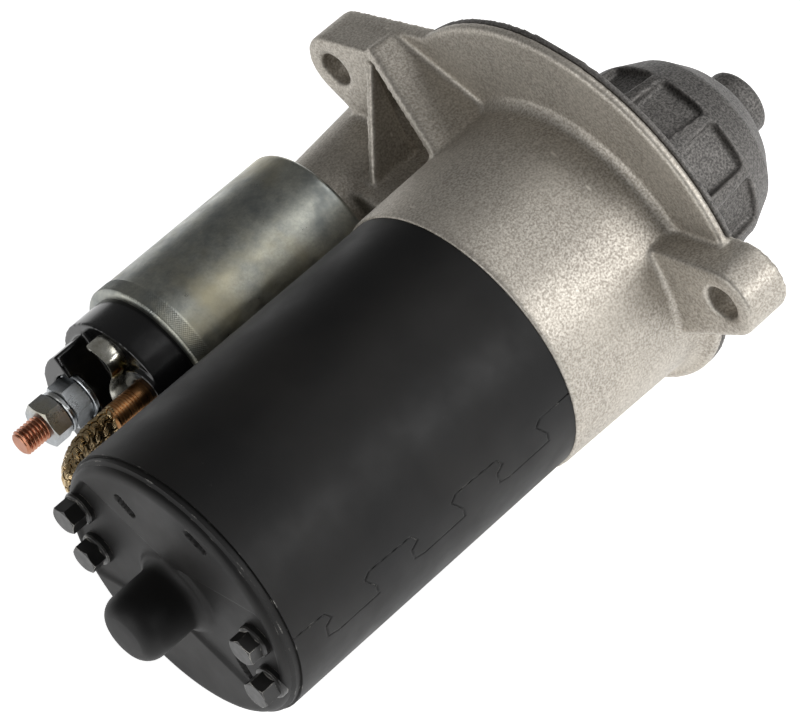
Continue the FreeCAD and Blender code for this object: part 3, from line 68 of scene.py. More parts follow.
class Sketch:
    """One material's node tree, with short calls for the nodes that the finishes share."""

    def __init__(self, name: str) -> None:
        """Start a material with a principled shader.

        Args:
            name: the material's name.
        """
        self.material = bpy.data.materials.new(name)
        self.material.use_nodes = True
        self.tree = self.material.node_tree
        self.tree.nodes.clear()
        output = self.tree.nodes.new("ShaderNodeOutputMaterial")
        self.shader = self.tree.nodes.new("ShaderNodeBsdfPrincipled")
        self.tree.links.new(self.shader.outputs["BSDF"], output.inputs["Surface"])
        self.place = self.tree.nodes.new("ShaderNodeTexCoord").outputs["Object"]

    def join(self, value: object, socket: bpy.types.NodeSocket) -> None:
        """Link a socket, or set a plain value, on an input.

        Args:
            value: an output socket, a number or a colour.
            socket: the input that takes it.
        """
        if isinstance(value, bpy.types.NodeSocket):
            self.tree.links.new(value, socket)
        elif isinstance(value, (tuple, list)) and len(value) == 3 and socket.type == "RGBA":
            socket.default_value = (*value, 1.0)
        else:
            socket.default_value = value

    def node(self, kind: str, inputs: dict | None = None, **settings: object) -> bpy.types.Node:
        """Add a node.

        Args:
            kind: the node's type name without its ShaderNode prefix.
            inputs: values or sockets by input name or number.
            settings: attributes of the node itself.

        Returns:
            The new node.
        """
        made = self.tree.nodes.new("ShaderNode" + kind)
        for key, value in settings.items():
            setattr(made, key, value)
        for key, value in (inputs or {}).items():
            self.join(value, made.inputs[key])
        return made

    def maths(
        self, operation: str, first: object, second: object = 0.0, third: object = 0.0,
    ) -> bpy.types.NodeSocket:
        """A math node's result."""
        made = self.node("Math", {0: first, 1: second, 2: third}, operation=operation)
        return made.outputs[0]

    def stretched(self, factors: tuple[float, float, float]) -> bpy.types.NodeSocket:
        """Object coordinates scaled along each axis."""
        return self.node("Mapping", {"Vector": self.place, "Scale": factors}).outputs[0]

    def grain(
        self, scale: float, detail: float = 3.0, rough: float = 0.55, where: object = None,
    ) -> bpy.types.NodeSocket:
        """Noise between 0 and 1.

        Args:
            scale: waves per metre.
            detail: octaves.
            rough: weight of the finer octaves.
            where: the coordinates, or None for Object coordinates.

        Returns:
            The noise value's socket.
        """
        made = self.node(
            "TexNoise",
            {"Vector": where or self.place, "Scale": scale, "Detail": detail, "Roughness": rough},
        )
        return made.outputs[0]

    def spread(
        self, value: object, low: float, high: float, to_low: float = 0.0, to_high: float = 1.0,
    ) -> bpy.types.NodeSocket:
        """The value's span from low to high, moved to another span and clamped."""
        made = self.node(
            "MapRange",
            {"Value": value, "From Min": low, "From Max": high, "To Min": to_low, "To Max": to_high},
        )
        return made.outputs[0]

    def mix(self, share: object, first: object, second: object) -> bpy.types.NodeSocket:
        """One colour passing into another."""
        made = self.tree.nodes.new("ShaderNodeMix")
        made.data_type = "RGBA"
        self.join(share, made.inputs[0])
        self.join(first, made.inputs[6])
        self.join(second, made.inputs[7])
        return made.outputs[2]

    def bump(
        self, height: object, depth: float, strength: float = 1.0, under: object = None,
    ) -> bpy.types.NodeSocket:
        """Relief from a height.

        Args:
            height: a value from 0 to 1.
            depth: the relief's height in metres.
            strength: how much of it shows.
            under: a normal that this one adds to.

        Returns:
            The normal's socket.
        """
        inputs = {"Height": height, "Distance": depth, "Strength": strength}
        if under is not None:
            inputs["Normal"] = under
        return self.node("Bump", inputs).outputs[0]

    def edges(self, width: float, low: float, high: float) -> bpy.types.NodeSocket:
        """How near a sharp edge the surface is, from 0 to 1.

        Args:
            width: the reach of an edge in metres.
            low: the turn of the normal where the mask starts.
            high: the turn where it is full.

        Returns:
            The mask's socket.
        """
        rounded = self.node("Bevel", {"Radius": width}, samples=4).outputs[0]
        true = self.node("NewGeometry").outputs["Normal"]
        turn = self.node("VectorMath", {0: rounded, 1: true}, operation="DOT_PRODUCT").outputs["Value"]
        return self.spread(self.maths("SUBTRACT", 1.0, turn), low, high)

    def finish(
        self, color: object, metallic: float, roughness: object, normal: object = None,
        coat: float = 0.0, specular: float = 0.5,
    ) -> bpy.types.Material:
        """Connect the shader and hand back the material."""
        self.join(color, self.shader.inputs["Base Color"])
        self.join(metallic, self.shader.inputs["Metallic"])
        self.join(roughness, self.shader.inputs["Roughness"])
        self.shader.inputs["Specular IOR Level"].default_value = specular
        if coat:
            self.shader.inputs["Coat Weight"].default_value = coat
            self.shader.inputs["Coat Roughness"].default_value = 0.08
        if normal is not None:
            self.join(normal, self.shader.inputs["Normal"])
        return self.material


Color = tuple[float, float, float]


@dataclass(frozen=True)
class HeadFinish:
    """Blacked screw heads, bright where a socket has rubbed their corners."""

    name: str

    def material(self) -> bpy.types.Material:
        """Build the material."""
        s = Sketch(self.name)
        rubbed = s.maths("MULTIPLY", s.edges(0.0004, 0.02, 0.12), s.spread(s.grain(240.0, 3.0), 0.46, 0.62))
        color = s.mix(rubbed, (0.012, 0.0115, 0.011), (0.55, 0.53, 0.48))
        rough = s.spread(s.grain(400.0, 3.0), 0.3, 0.7, 0.28, 0.42)
        return s.finish(color, s.maths("MULTIPLY", rubbed, 0.9), rough, s.bump(s.grain(1300.0), 0.00003, 0.3))


@dataclass(frozen=True)
class BladeFinish:
    """Tinned brass with a yellow-brown stain near the middle of its length."""

    name: str
    stain_at: tuple[float, float, float] = (-0.1266, 0.0667, 0.0054)
    reach: float = 0.0042

    def material(self) -> bpy.types.Material:
        """Build the material."""
        s = Sketch(self.name)
        far = s.node("VectorMath", {0: s.place, 1: self.stain_at}, operation="DISTANCE").outputs["Value"]
        edge = s.maths("ADD", far, s.maths("MULTIPLY", s.maths("SUBTRACT", s.grain(420.0, 3.0), 0.5), 0.004))
        stain = s.spread(edge, self.reach, self.reach * 0.45)
        burnt = s.spread(edge, self.reach * 0.42, self.reach * 0.15)
        tin = s.mix(s.spread(s.grain(330.0, 4.0), 0.35, 0.65), (0.42, 0.4, 0.33), (0.74, 0.73, 0.66))
        color = s.mix(s.maths("MULTIPLY", stain, 0.85), tin, (0.42, 0.3, 0.03))
        color = s.mix(s.maths("MULTIPLY", burnt, 0.8), color, (0.13, 0.04, 0.01))
        rough = s.spread(s.grain(200.0), 0.3, 0.7, 0.16, 0.32)
        return s.finish(color, 1.0, rough, s.bump(s.grain(260.0), 0.00012, 0.4))



@dataclass(frozen=True)
class CastFinish:
    """Blasted die-cast metal with a sandy grain, paler rubbed edges and small knocks."""

    name: str
    light: Color
    dark: Color
    worn: Color
    metallic: float = 0.75
    roughness: float = 0.5
    grain: float = 1500.0
    depth: float = 0.00007

    def material(self) -> bpy.types.Material:
        """Build the material."""
        s = Sketch(self.name)
        cloud = s.spread(s.grain(35.0, 4.0, 0.6), 0.35, 0.65)
        sand = s.grain(self.grain, 2.0, 0.6)
        color = s.mix(cloud, self.dark, self.light)
        color = s.mix(s.spread(sand, 0.36, 0.66, 0.0, 0.6), color, self.worn)
        rubbed = s.maths("MULTIPLY", s.edges(0.0016, 0.012, 0.12), s.spread(s.grain(260.0, 4.0), 0.36, 0.54))
        cells = s.node("TexVoronoi", {"Vector": s.stretched((1.0, 0.35, 0.6)), "Scale": 260.0})
        knock = cells.outputs["Distance"]
        nicks = s.maths("MULTIPLY", s.spread(knock, 0.16, 0.06), s.spread(s.grain(45.0), 0.56, 0.62))
        color = s.mix(s.maths("MAXIMUM", rubbed, nicks), color, self.worn)
        rough = s.spread(sand, 0.25, 0.8, self.roughness + 0.08, self.roughness - 0.06)
        relief = s.bump(sand, self.depth, 0.95)
        relief = s.bump(s.grain(420.0, 3.0), 0.00012, 0.35, relief)
        return s.finish(color, self.metallic, rough, relief)


@dataclass(frozen=True)
class PaintFinish:
    """Baked black paint over steel: satin, faintly clouded, rubbed through on its edges."""

    name: str
    light: Color = (0.0105, 0.0098, 0.0092)
    dark: Color = (0.0045, 0.0045, 0.0047)
    roughness: float = 0.5

    def material(self) -> bpy.types.Material:
        """Build the material."""
        s = Sketch(self.name)
        cloud = s.spread(s.grain(22.0, 3.0, 0.5), 0.38, 0.62)
        color = s.mix(cloud, self.dark, self.light)
        dust = s.spread(s.grain(900.0, 3.0, 0.7), 0.72, 0.82)
        color = s.mix(dust, color, (0.05, 0.05, 0.047))
        patchy = s.spread(s.grain(190.0, 5.0, 0.65), 0.55, 0.68)
        through = s.maths("MULTIPLY", s.edges(0.0005, 0.03, 0.16), patchy)
        color = s.mix(through, color, (0.42, 0.41, 0.38))
        rough = s.spread(s.grain(70.0, 4.0), 0.3, 0.7, self.roughness - 0.04, self.roughness + 0.08)
        relief = s.bump(s.grain(1700.0, 2.0), 0.00003, 0.35)
        return s.finish(color, 0.0, rough, relief, specular=0.24)


@dataclass(frozen=True)
class PlateFinish:
    """Zinc plating: mottled grey crystals with a yellow-green cast and rubbed streaks."""

    name: str
    light: Color = (0.45, 0.45, 0.39)
    dark: Color = (0.2, 0.215, 0.21)
    roughness: float = 0.33

    def material(self) -> bpy.types.Material:
        """Build the material."""
        s = Sketch(self.name)
        patch = s.spread(s.grain(60.0, 5.0, 0.7), 0.35, 0.66)
        color = s.mix(patch, self.dark, self.light)
        speck = s.spread(s.grain(1100.0, 3.0, 0.7), 0.35, 0.7, 0.0, 0.45)
        color = s.mix(speck, color, (0.2, 0.215, 0.21))
        stain = s.spread(s.grain(28.0, 4.0, 0.6), 0.5, 0.68, 0.0, 0.5)
        color = s.mix(stain, color, (0.42, 0.36, 0.2))
        rough = s.spread(s.grain(160.0, 5.0, 0.7), 0.3, 0.7, self.roughness - 0.07, self.roughness + 0.16)
        relief = s.bump(s.grain(1500.0, 2.0), 0.00002, 0.3)
        return s.finish(color, 1.0, rough, relief)


@dataclass(frozen=True)
class MetalFinish:
    """Turned, ground or drawn bare metal with fine marks round the shaft's direction."""

    name: str
    color: Color
    dark: Color
    roughness: float = 0.3
    marks: tuple[float, float, float] = (900.0, 60.0, 60.0)

    def material(self) -> bpy.types.Material:
        """Build the material."""
        s = Sketch(self.name)
        turned = s.grain(1.0, 2.0, 0.5, s.stretched(self.marks))
        shade = s.spread(s.grain(130.0, 4.0), 0.32, 0.68)
        color = s.mix(shade, self.dark, self.color)
        rough = s.spread(turned, 0.3, 0.7, self.roughness - 0.06, self.roughness + 0.1)
        relief = s.bump(turned, 0.000012, 0.4)
        return s.finish(color, 1.0, rough, relief)


@dataclass(frozen=True)
class MouldedFinish:
    """Moulded plastic, glossy or dull, with faint flow marks and dust."""

    name: str
    color: Color = (0.0035, 0.0035, 0.0037)
    roughness: float = 0.12
    texture: float = 0.00001

    def material(self) -> bpy.types.Material:
        """Build the material."""
        s = Sketch(self.name)
        dust = s.spread(s.grain(700.0, 4.0, 0.7), 0.66, 0.8, 0.0, 0.5)
        color = s.mix(dust, self.color, (0.06, 0.06, 0.055))
        rough = s.spread(s.grain(90.0, 4.0), 0.3, 0.7, self.roughness, self.roughness + 0.14)
        relief = s.bump(s.grain(500.0, 3.0), self.texture, 0.5)
        return s.finish(color, 0.0, rough, relief)


@dataclass(frozen=True)
class WindingFinish:
    """Enamelled copper wire laid side by side, with painted shade in the grooves between wires."""

    name: str
    color: Color = (0.5, 0.17, 0.055)
    pitch: float = 1200.0

    def material(self) -> bpy.types.Material:
        """Build the material."""
        s = Sketch(self.name)
        sizes = {"Vector": s.place, "Scale": self.pitch / 6.3, "Distortion": 0.3}
        lay = s.node("TexWave", sizes, bands_direction="X").outputs[1]
        color = s.mix(s.grain(200.0), self.color, (0.62, 0.27, 0.1))
        # painted shade: near-black copper in the troughs between neighbouring wires
        color = s.mix(s.spread(lay, 0.0, 0.3, 0.7, 0.0), color, (0.06, 0.02, 0.01))
        return s.finish(color, 0.8, 0.34, s.bump(lay, 0.00025, 0.8))


class Finish(Enum):
    """Every finish on the starter, by the name of what wears it."""

    CASTING = CastFinish("CastAluminium", (0.4, 0.365, 0.315), (0.29, 0.262, 0.225), (0.74, 0.7, 0.63))
    NOSE_CASTING = CastFinish(
        "CharcoalCasting", (0.075, 0.071, 0.067), (0.047, 0.045, 0.043), (0.28, 0.265, 0.25), 0.5, 0.55
    )
    PAINT = PaintFinish("BlackPaint")
    ZINC = PlateFinish("ZincPlate")
    NUT_ZINC = PlateFinish("NutZinc", (0.5, 0.52, 0.54), (0.3, 0.32, 0.34), 0.28)
    CAP_MOULDING = MouldedFinish("CapMoulding")
    DULL_MOULDING = MouldedFinish("DullMoulding", (0.018, 0.017, 0.016), 0.42, 0.00003)
    RUBBER = MouldedFinish("GrommetRubber", (0.012, 0.012, 0.012), 0.62, 0.00004)
    COPPER = MetalFinish("CopperStud", (0.55, 0.26, 0.16), (0.32, 0.13, 0.075), 0.3)
    BRASS = MetalFinish("Brass", (0.72, 0.52, 0.24), (0.5, 0.33, 0.13), 0.3)
    BRONZE = MetalFinish("SinteredBronze", (0.45, 0.27, 0.12), (0.28, 0.16, 0.07), 0.5)
    STEEL = MetalFinish("GroundSteel", (0.6, 0.6, 0.6), (0.42, 0.42, 0.43), 0.26)
    GEAR_STEEL = MetalFinish("GearSteel", (0.36, 0.35, 0.34), (0.2, 0.195, 0.19), 0.34)
    DARK_STEEL = MetalFinish("BlackedSteel", (0.05, 0.048, 0.046), (0.02, 0.02, 0.02), 0.36)
    LAMINATION = MetalFinish("Lamination", (0.3, 0.29, 0.28), (0.16, 0.155, 0.15), 0.45, (2600.0, 8.0, 8.0))
    FERRITE = MouldedFinish("Ferrite", (0.035, 0.034, 0.036), 0.6, 0.00005)
    CARBON = MouldedFinish("CarbonBrush", (0.02, 0.019, 0.019), 0.5, 0.00003)
    WINDING = WindingFinish("EnamelledWire")
    HEAD_STEEL = HeadFinish("BlackedHeads")
    OLD_COPPER = MetalFinish("TarnishedCopper", (0.5, 0.27, 0.12), (0.22, 0.1, 0.04), 0.3)
    BRAID = MetalFinish("BraidWire", (0.74, 0.6, 0.38), (0.36, 0.25, 0.12), 0.24, (300.0, 300.0, 300.0))
    BLADE = BladeFinish("TinnedBlade")


class FinishShelf:
    """Builds each finish once and hands it out."""

    def __init__(self) -> None:
        """Start with nothing built."""
        self.made: dict[Finish, bpy.types.Material] = {}

    def get(self, finish: Finish) -> bpy.types.Material:
        """The material of a finish, built on first use."""
        if finish not in self.made:
            self.made[finish] = finish.value.material()
        return self.made[finish]


SHELF = FinishShelf()

# ------------------------------------------------------------------ mesh helpers


def spun(
    profile: list[tuple[float, float]], steps: int = 128, centre: tuple[float, float] = (0.0, 0.0),
) -> bmesh.types.BMesh:
    """Spin a profile about a line along X.

    Args:
        profile: (x, radius) points in millimetres, in order.
        steps: divisions of the turn.
        centre: the line's Y and Z in millimetres.

    Returns:
        The closed or open turned mesh.
    """
    bm = bmesh.new()
    verts = [bm.verts.new(mm(x, r, 0.0)) for x, r in profile]
    edges = [bm.edges.new(pair) for pair in zip(verts, verts[1:])]
    bmesh.ops.spin(
        bm, geom=verts + edges, cent=(0, 0, 0), axis=X_AXIS, angle=math.tau, steps=steps, use_merge=True,
    )
    bmesh.ops.remove_doubles(bm, verts=bm.verts, dist=1e-6)
    bmesh.ops.recalc_face_normals(bm, faces=bm.faces)
    bmesh.ops.translate(bm, verts=bm.verts, vec=mm(0.0, *centre))
    return bm


def from_node(node: str, merge: float = 0.004) -> bmesh.types.BMesh:
    """A merged copy of a frame node's mesh."""
    bm = bmesh.new()
    bm.from_mesh(bpy.data.objects[node].data)
    bmesh.ops.remove_doubles(bm, verts=bm.verts, dist=merge * MM)
    return bm


def placed(
    name: str, bm: bmesh.types.BMesh, finish: Finish, body: str,
    nodes: tuple[str, ...] = (), smooth: float = 35.0,
) -> bpy.types.Object:
    """Turn a mesh into a piece that rides on a body.

    Args:
        name: the piece's name.
        bm: its mesh, which is freed.
        finish: what it wears.
        body: the body it moves with.
        nodes: the frame nodes it stands for.
        smooth: the sharpest edge in degrees that is shaded smooth.

    Returns:
        The new object.
    """
    mesh = bpy.data.meshes.new(name)
    bm.to_mesh(mesh)
    bm.free()
    for polygon in mesh.polygons:
        polygon.use_smooth = True
    mesh.set_sharp_from_angle(angle=math.radians(smooth))
    mesh.materials.append(SHELF.get(finish))
    piece = bpy.data.objects.new(name, mesh)
    bpy.context.scene.collection.objects.link(piece)
    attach(piece, body)
    if nodes:
        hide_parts(*nodes)
    log.info("%s: %d faces", name, len(mesh.polygons))
    return piece


def remeshed(bm: bmesh.types.BMesh, voxel: float, passes: int, factor: float = 0.5) -> bmesh.types.BMesh:
    """Round every edge and corner of a closed mesh as casting does.

    Args:
        bm: the closed mesh, which is freed.
        voxel: the new mesh's grid in millimetres.
        passes: smoothing rounds.
        factor: how far each round moves a point towards its neighbours.

    Returns:
        The rounded mesh.
    """
    mesh = bpy.data.meshes.new("rough")
    bm.to_mesh(mesh)
    bm.free()
    shape = bpy.data.objects.new("rough", mesh)
    bpy.context.scene.collection.objects.link(shape)
    grid = shape.modifiers.new("grid", "REMESH")
    grid.mode = "VOXEL"
    grid.voxel_size = voxel * MM
    rounding = shape.modifiers.new("rounding", "SMOOTH")
    rounding.factor = factor
    rounding.iterations = passes
    bpy.context.view_layer.update()
    solid = bpy.data.meshes.new_from_object(shape.evaluated_get(bpy.context.evaluated_depsgraph_get()))
    made = bmesh.new()
    made.from_mesh(solid)
    bpy.data.objects.remove(shape)
    bpy.data.meshes.remove(mesh)
    bpy.data.meshes.remove(solid)
    return made


# ------------------------------------------------------------------ gridded shapes


def smooth_step(low: float, high: float, value: float) -> float:
    """A soft ramp from 0 at low to 1 at high."""
    share = min(max((value - low) / (high - low), 0.0), 1.0)
    return share * share * (3.0 - 2.0 * share)


def stations(start: float, end: float, step: float) -> list[float]:
    """Evenly spaced values from start to end, no further apart than the step."""
    count = max(1, math.ceil(abs(end - start) / step))
    return [start + (end - start) * index / count for index in range(count + 1)]


def ring_grid(rows: list[list[tuple[float, float, float]]], closed: bool = True) -> bmesh.types.BMesh:
    """Join rows of points into quads.

    Args:
        rows: rings of points in millimetres, all with the same count.
        closed: whether each row joins its own ends.

    Returns:
        The mesh, with points that fall together merged.
    """
    bm = bmesh.new()
    made = [[bm.verts.new(mm(*point)) for point in row] for row in rows]
    count = len(rows[0])
    for low, high in zip(made, made[1:]):
        for index in range(count if closed else count - 1):
            after = (index + 1) % count
            bm.faces.new((low[index], low[after], high[after], high[index]))
    bmesh.ops.remove_doubles(bm, verts=bm.verts, dist=1e-7)
    bmesh.ops.recalc_face_normals(bm, faces=bm.faces)
    return bm


def joined(*shapes: bmesh.types.BMesh) -> bmesh.types.BMesh:
    """Several meshes as one; all but the first are freed."""
    first = shapes[0]
    for shape in shapes[1:]:
        mesh = bpy.data.meshes.new("part")
        shape.to_mesh(mesh)
        shape.free()
        first.from_mesh(mesh)
        bpy.data.meshes.remove(mesh)
    return first


def eased(points: list[tuple[float, float, float]], steps: int) -> list[Vector]:
    """A smooth path through the points.

    Args:
        points: the points in millimetres.
        steps: divisions of each span.

    Returns:
        The path's points in millimetres.
    """
    knots = [Vector(point) for point in points]
    path = []
    for index in range(len(knots) - 1):
        before, start = knots[max(index - 1, 0)], knots[index]
        end, after = knots[index + 1], knots[min(index + 2, len(knots) - 1)]
        for step in range(steps):
            t = step / steps
            path.append(
                0.5 * (2 * start + (end - before) * t + (2 * before - 5 * start + 4 * end - after) * t * t
                       + (3 * start - before - 3 * end + after) * t ** 3)
            )
    return path + [knots[-1]]


# ------------------------------------------------------------------ castings


@dataclass
class Castings:
    """The drive end housing and the nose, with every edge rounded as a die leaves it."""

    housing_grid: float = 0.85
    nose_grid: float = 0.75
    passes: int = 4

    def build(self) -> None:
        """Build and dress both castings."""
        housing = remeshed(from_node("drive_end_housing"), self.housing_grid, self.passes)
        placed(
            "HousingCasting", housing, Finish.CASTING, "motor_frame",
            ("drive_end_housing",), 80.0,
        )
        nose = remeshed(from_node("nose_cone"), self.nose_grid, self.passes)
        placed("NoseCasting", nose, Finish.NOSE_CASTING, "motor_frame", ("nose_cone",), 80.0)


# ------------------------------------------------------------------ motor frame


@dataclass
class FrameTube:
    """Rolled steel tube whose ends lock together in a dovetailed seam."""

    radius: float = 44.0
    wall: float = 3.5
    rear: float = -166.5
    front: float = -57.0
    notch: tuple[float, float, float] = (8.0, -1.5, 7.5)
    high_arc: float = 128.3
    low_arc: float = 138.0
    groove_width: float = 0.28
    groove_depth: float = 0.3

    def seam(self) -> list[tuple[float, float]]:
        """The seam's route as (x, arc length) points."""
        falls, rises = (-154.7, -121.0, -87.0), (-137.8, -103.6, -69.5)
        down = ((-0.2, 129.0), (1.7, 131.7), (-1.0, 133.5), (-0.7, 137.1), (3.3, 138.2))
        up = ((1.8, 138.1), (1.5, 134.7), (-1.6, 129.9), (0.5, 128.2))
        route = [(self.rear - 1.0, self.high_arc)]
        for fall, rise in zip(falls, rises):
            route += [(fall + shift, arc) for shift, arc in down]
            route += [(rise + shift, arc) for shift, arc in up]
        return route + [(self.front + 1.0, self.high_arc)]

    def depth(self, x: float, arc: float, route: list[tuple[float, float]]) -> float:
        """How far the seam's groove sinks the surface at a place."""
        nearest = 9.0
        for (x0, a0), (x1, a1) in zip(route, route[1:]):
            if min(x0, x1) - 2.0 > x or max(x0, x1) + 2.0 < x:
                continue
            dx, da = x1 - x0, a1 - a0
            share = min(max(((x - x0) * dx + (arc - a0) * da) / (dx * dx + da * da), 0.0), 1.0)
            nearest = min(nearest, math.hypot(x0 + dx * share - x, a0 + da * share - arc))
        return self.groove_depth * (1.0 - smooth_step(0.3, 1.0, nearest / self.groove_width))

    def build(self) -> None:
        """Build and dress the tube."""
        route = self.seam()
        fine_low, fine_high = self.high_arc - 1.5, self.low_arc + 1.5
        notch_low = math.asin(self.notch[1] / self.radius) * self.radius
        notch_high = math.asin(self.notch[2] / self.radius) * self.radius
        around = math.tau * self.radius
        arcs = stations(notch_low, notch_high, 1.5) + stations(notch_high, fine_low, 1.9)[1:]
        arcs += stations(fine_low, fine_high, 0.2)[1:] + stations(fine_high, around + notch_low, 1.9)[1:-1]
        xs = stations(self.rear, self.rear + self.notch[0], 0.6)
        xs += stations(self.rear + self.notch[0], self.front, 0.42)[1:]
        rows = []
        for x in xs:
            row = []
            for arc in arcs:
                sink = self.depth(x, arc, route) if fine_low < arc < fine_high else 0.0
                turn = arc / self.radius
                row.append((x, (self.radius - sink) * math.cos(turn), (self.radius - sink) * math.sin(turn)))
            rows.append(row)
        bm = ring_grid(rows)
        gone = []
        for face in bm.faces:
            middle = face.calc_center_median() / MM
            in_notch = self.notch[1] < middle.z < self.notch[2] and middle.y > 0
            if in_notch and middle.x < self.rear + self.notch[0]:
                gone.append(face)
        bmesh.ops.delete(bm, geom=gone, context="FACES")
        bmesh.ops.solidify(bm, geom=bm.faces[:], thickness=self.wall * MM)
        placed("FrameTube", bm, Finish.PAINT, "motor_frame", ("field_frame",), 40.0)


# ------------------------------------------------------------------ end cap


@dataclass
class EndCap:
    """Pressed end cap: rolled rim, channels towards the bolts, slots and a domed bearing boss."""

    face: float = -171.0
    rear: float = -166.5
    rim: float = 43.3
    boss: float = 10.6
    boss_end: float = -190.5
    slots: tuple[tuple[float, float, float], ...] = (
        (13.5, 27.4, 34.0), (-15.0, 33.7, 32.0), (-22.9, -15.4, 61.0),
    )
    slot_long: float = 4.0
    slot_wide: float = 1.5

    def sink(self, y: float, z: float) -> float:
        """How far the pressed face lies inwards at a place."""
        reach = math.hypot(y, z)
        edge = 12.5 + 0.27 * abs(y)
        band = 1.0 - smooth_step(edge - 0.9, edge + 0.9, abs(z - 0.12 * y))
        depth = 1.0 * band * smooth_step(12.0, 15.0, reach) * (1.0 - smooth_step(38.2, 40.2, reach))
        for slot_y, slot_z, turn in self.slots:
            along = math.radians(turn)
            dy, dz = y - slot_y, z - slot_z
            u = dy * math.cos(along) + dz * math.sin(along)
            v = dz * math.cos(along) - dy * math.sin(along)
            gap = math.hypot(max(abs(u) - self.slot_long + self.slot_wide, 0.0), v) / self.slot_wide
            depth += 1.5 * (1.0 - smooth_step(0.75, 1.15, gap))
        return depth

    def profile(self) -> list[tuple[float, float]]:
        """The pressed shell's outer line as (x, radius) points, from the boss's tip to the rim."""
        points = [(self.boss_end, 0.0), (self.boss_end, 2.5)]
        round_x, round_r = 5.6, self.boss - 4.6
        for step in range(1, 13):
            turn = math.pi / 2 * step / 12
            points.append(
                (
                    self.boss_end + round_x * (1.0 - math.cos(turn)),
                    round_r + (self.boss - round_r) * math.sin(turn),
                )
            )
        foot = 3.2
        points += [(x, self.boss) for x in stations(self.boss_end + round_x, self.face - foot, 1.5)[1:]]
        for step in range(1, 9):
            turn = math.pi / 2 * step / 8
            x = self.face - foot * (1.0 - math.sin(turn))
            points.append((x, self.boss + foot * (1.0 - math.cos(turn))))
        points += [(self.face, r) for r in stations(self.boss + foot, self.rim - 3.6, 0.33)[1:]]
        for step in range(1, 7):
            turn = math.pi / 2 * step / 6
            points.append((self.face + 2.0 * (1.0 - math.cos(turn)), self.rim - 3.6 + 2.6 * math.sin(turn)))
        points += [(self.face + 2.4, self.rim - 0.5), (self.face + 2.7, self.rim), (self.rear, self.rim)]
        points += [(self.rear, self.rim - 3.4), (self.rear, self.boss + 20.0)]
        return points

    def build(self) -> None:
        """Build and dress the cap."""
        rows = []
        for x, r in self.profile():
            row = []
            for index in range(360):
                turn = math.tau * index / 360
                y, z = r * math.cos(turn), r * math.sin(turn)
                pressed = abs(x - self.face) < 0.01
                row.append((x + (self.sink(y, z) if pressed else 0.0), y, z))
            rows.append(row)
        bm = ring_grid(rows)
        placed("EndCapShell", bm, Finish.PAINT, "motor_frame", ("end_cap",), 40.0)


# ------------------------------------------------------------------ fasteners


@dataclass
class Hexagonal:
    """A nut or a bolt head with its corners turned off."""

    x0: float
    x1: float
    flats: float
    y: float
    z: float
    turn: float
    bore: float = 0.0
    both: bool = True

    def mesh(self) -> bmesh.types.BMesh:
        """The head or nut along X."""
        crown = self.flats / 2 - 0.15
        slope = math.tan(math.radians(28.0))
        rings = [[] for _ in range(6)]
        for index in range(72):
            turn = math.tau * index / 72
            span = (turn + math.pi / 6) % (math.pi / 3) - math.pi / 6
            wide = self.flats / 2 / math.cos(span)
            rise = max(wide - crown, 0.02) * slope
            far = rise if self.both else 0.05
            places = (
                (self.x0, self.bore), (self.x0, crown), (self.x0 + rise, wide),
                (self.x1 - far, wide), (self.x1, crown), (self.x1, self.bore),
            )
            angle = turn + math.radians(self.turn)
            for ring, (x, r) in zip(rings, places):
                ring.append((x, self.y + r * math.cos(angle), self.z + r * math.sin(angle)))
        if self.bore:
            rings.append(rings[0])
        return ring_grid(rings)


def turned(
    profile: list[tuple[float, float]], y: float = 0.0, z: float = 0.0, steps: int = 72,
) -> bmesh.types.BMesh:
    """A profile of (x, radius) points spun about a line along X through (y, z)."""
    return spun(profile, steps, (y, z))


def disc(
    x0: float, x1: float, outer: float, inner: float, y: float, z: float, edge: float = 0.2,
) -> bmesh.types.BMesh:
    """A washer along X with broken edges."""
    return turned(
        [
            (x0, inner), (x0, outer - edge), (x0 + edge, outer), (x1 - edge, outer),
            (x1, outer - edge), (x1, inner), (x0, inner),
        ],
        y, z,
    )


def threaded(x0: float, x1: float, radius: float, pitch: float, y: float, z: float) -> bmesh.types.BMesh:
    """A stud with a helical thread and a chamfered tip at x0."""
    rows = [[(x0, y, z)] * 48]
    count = 10
    for x in [x0 + pitch * step / count for step in range(int((x1 - x0) / pitch * count) + 1)]:
        row = []
        for index in range(48):
            phase = (x / pitch + index / 48) % 1.0
            crest = radius - 0.62 * pitch * 0.9 * smooth_step(0.12, 0.88, abs(2 * phase - 1))
            r = min(crest, radius - 0.9 + (x - x0) * 1.2)
            turn = math.tau * index / 48
            row.append((x, y + r * math.cos(turn), z + r * math.sin(turn)))
        rows.append(row)
    return ring_grid(rows)


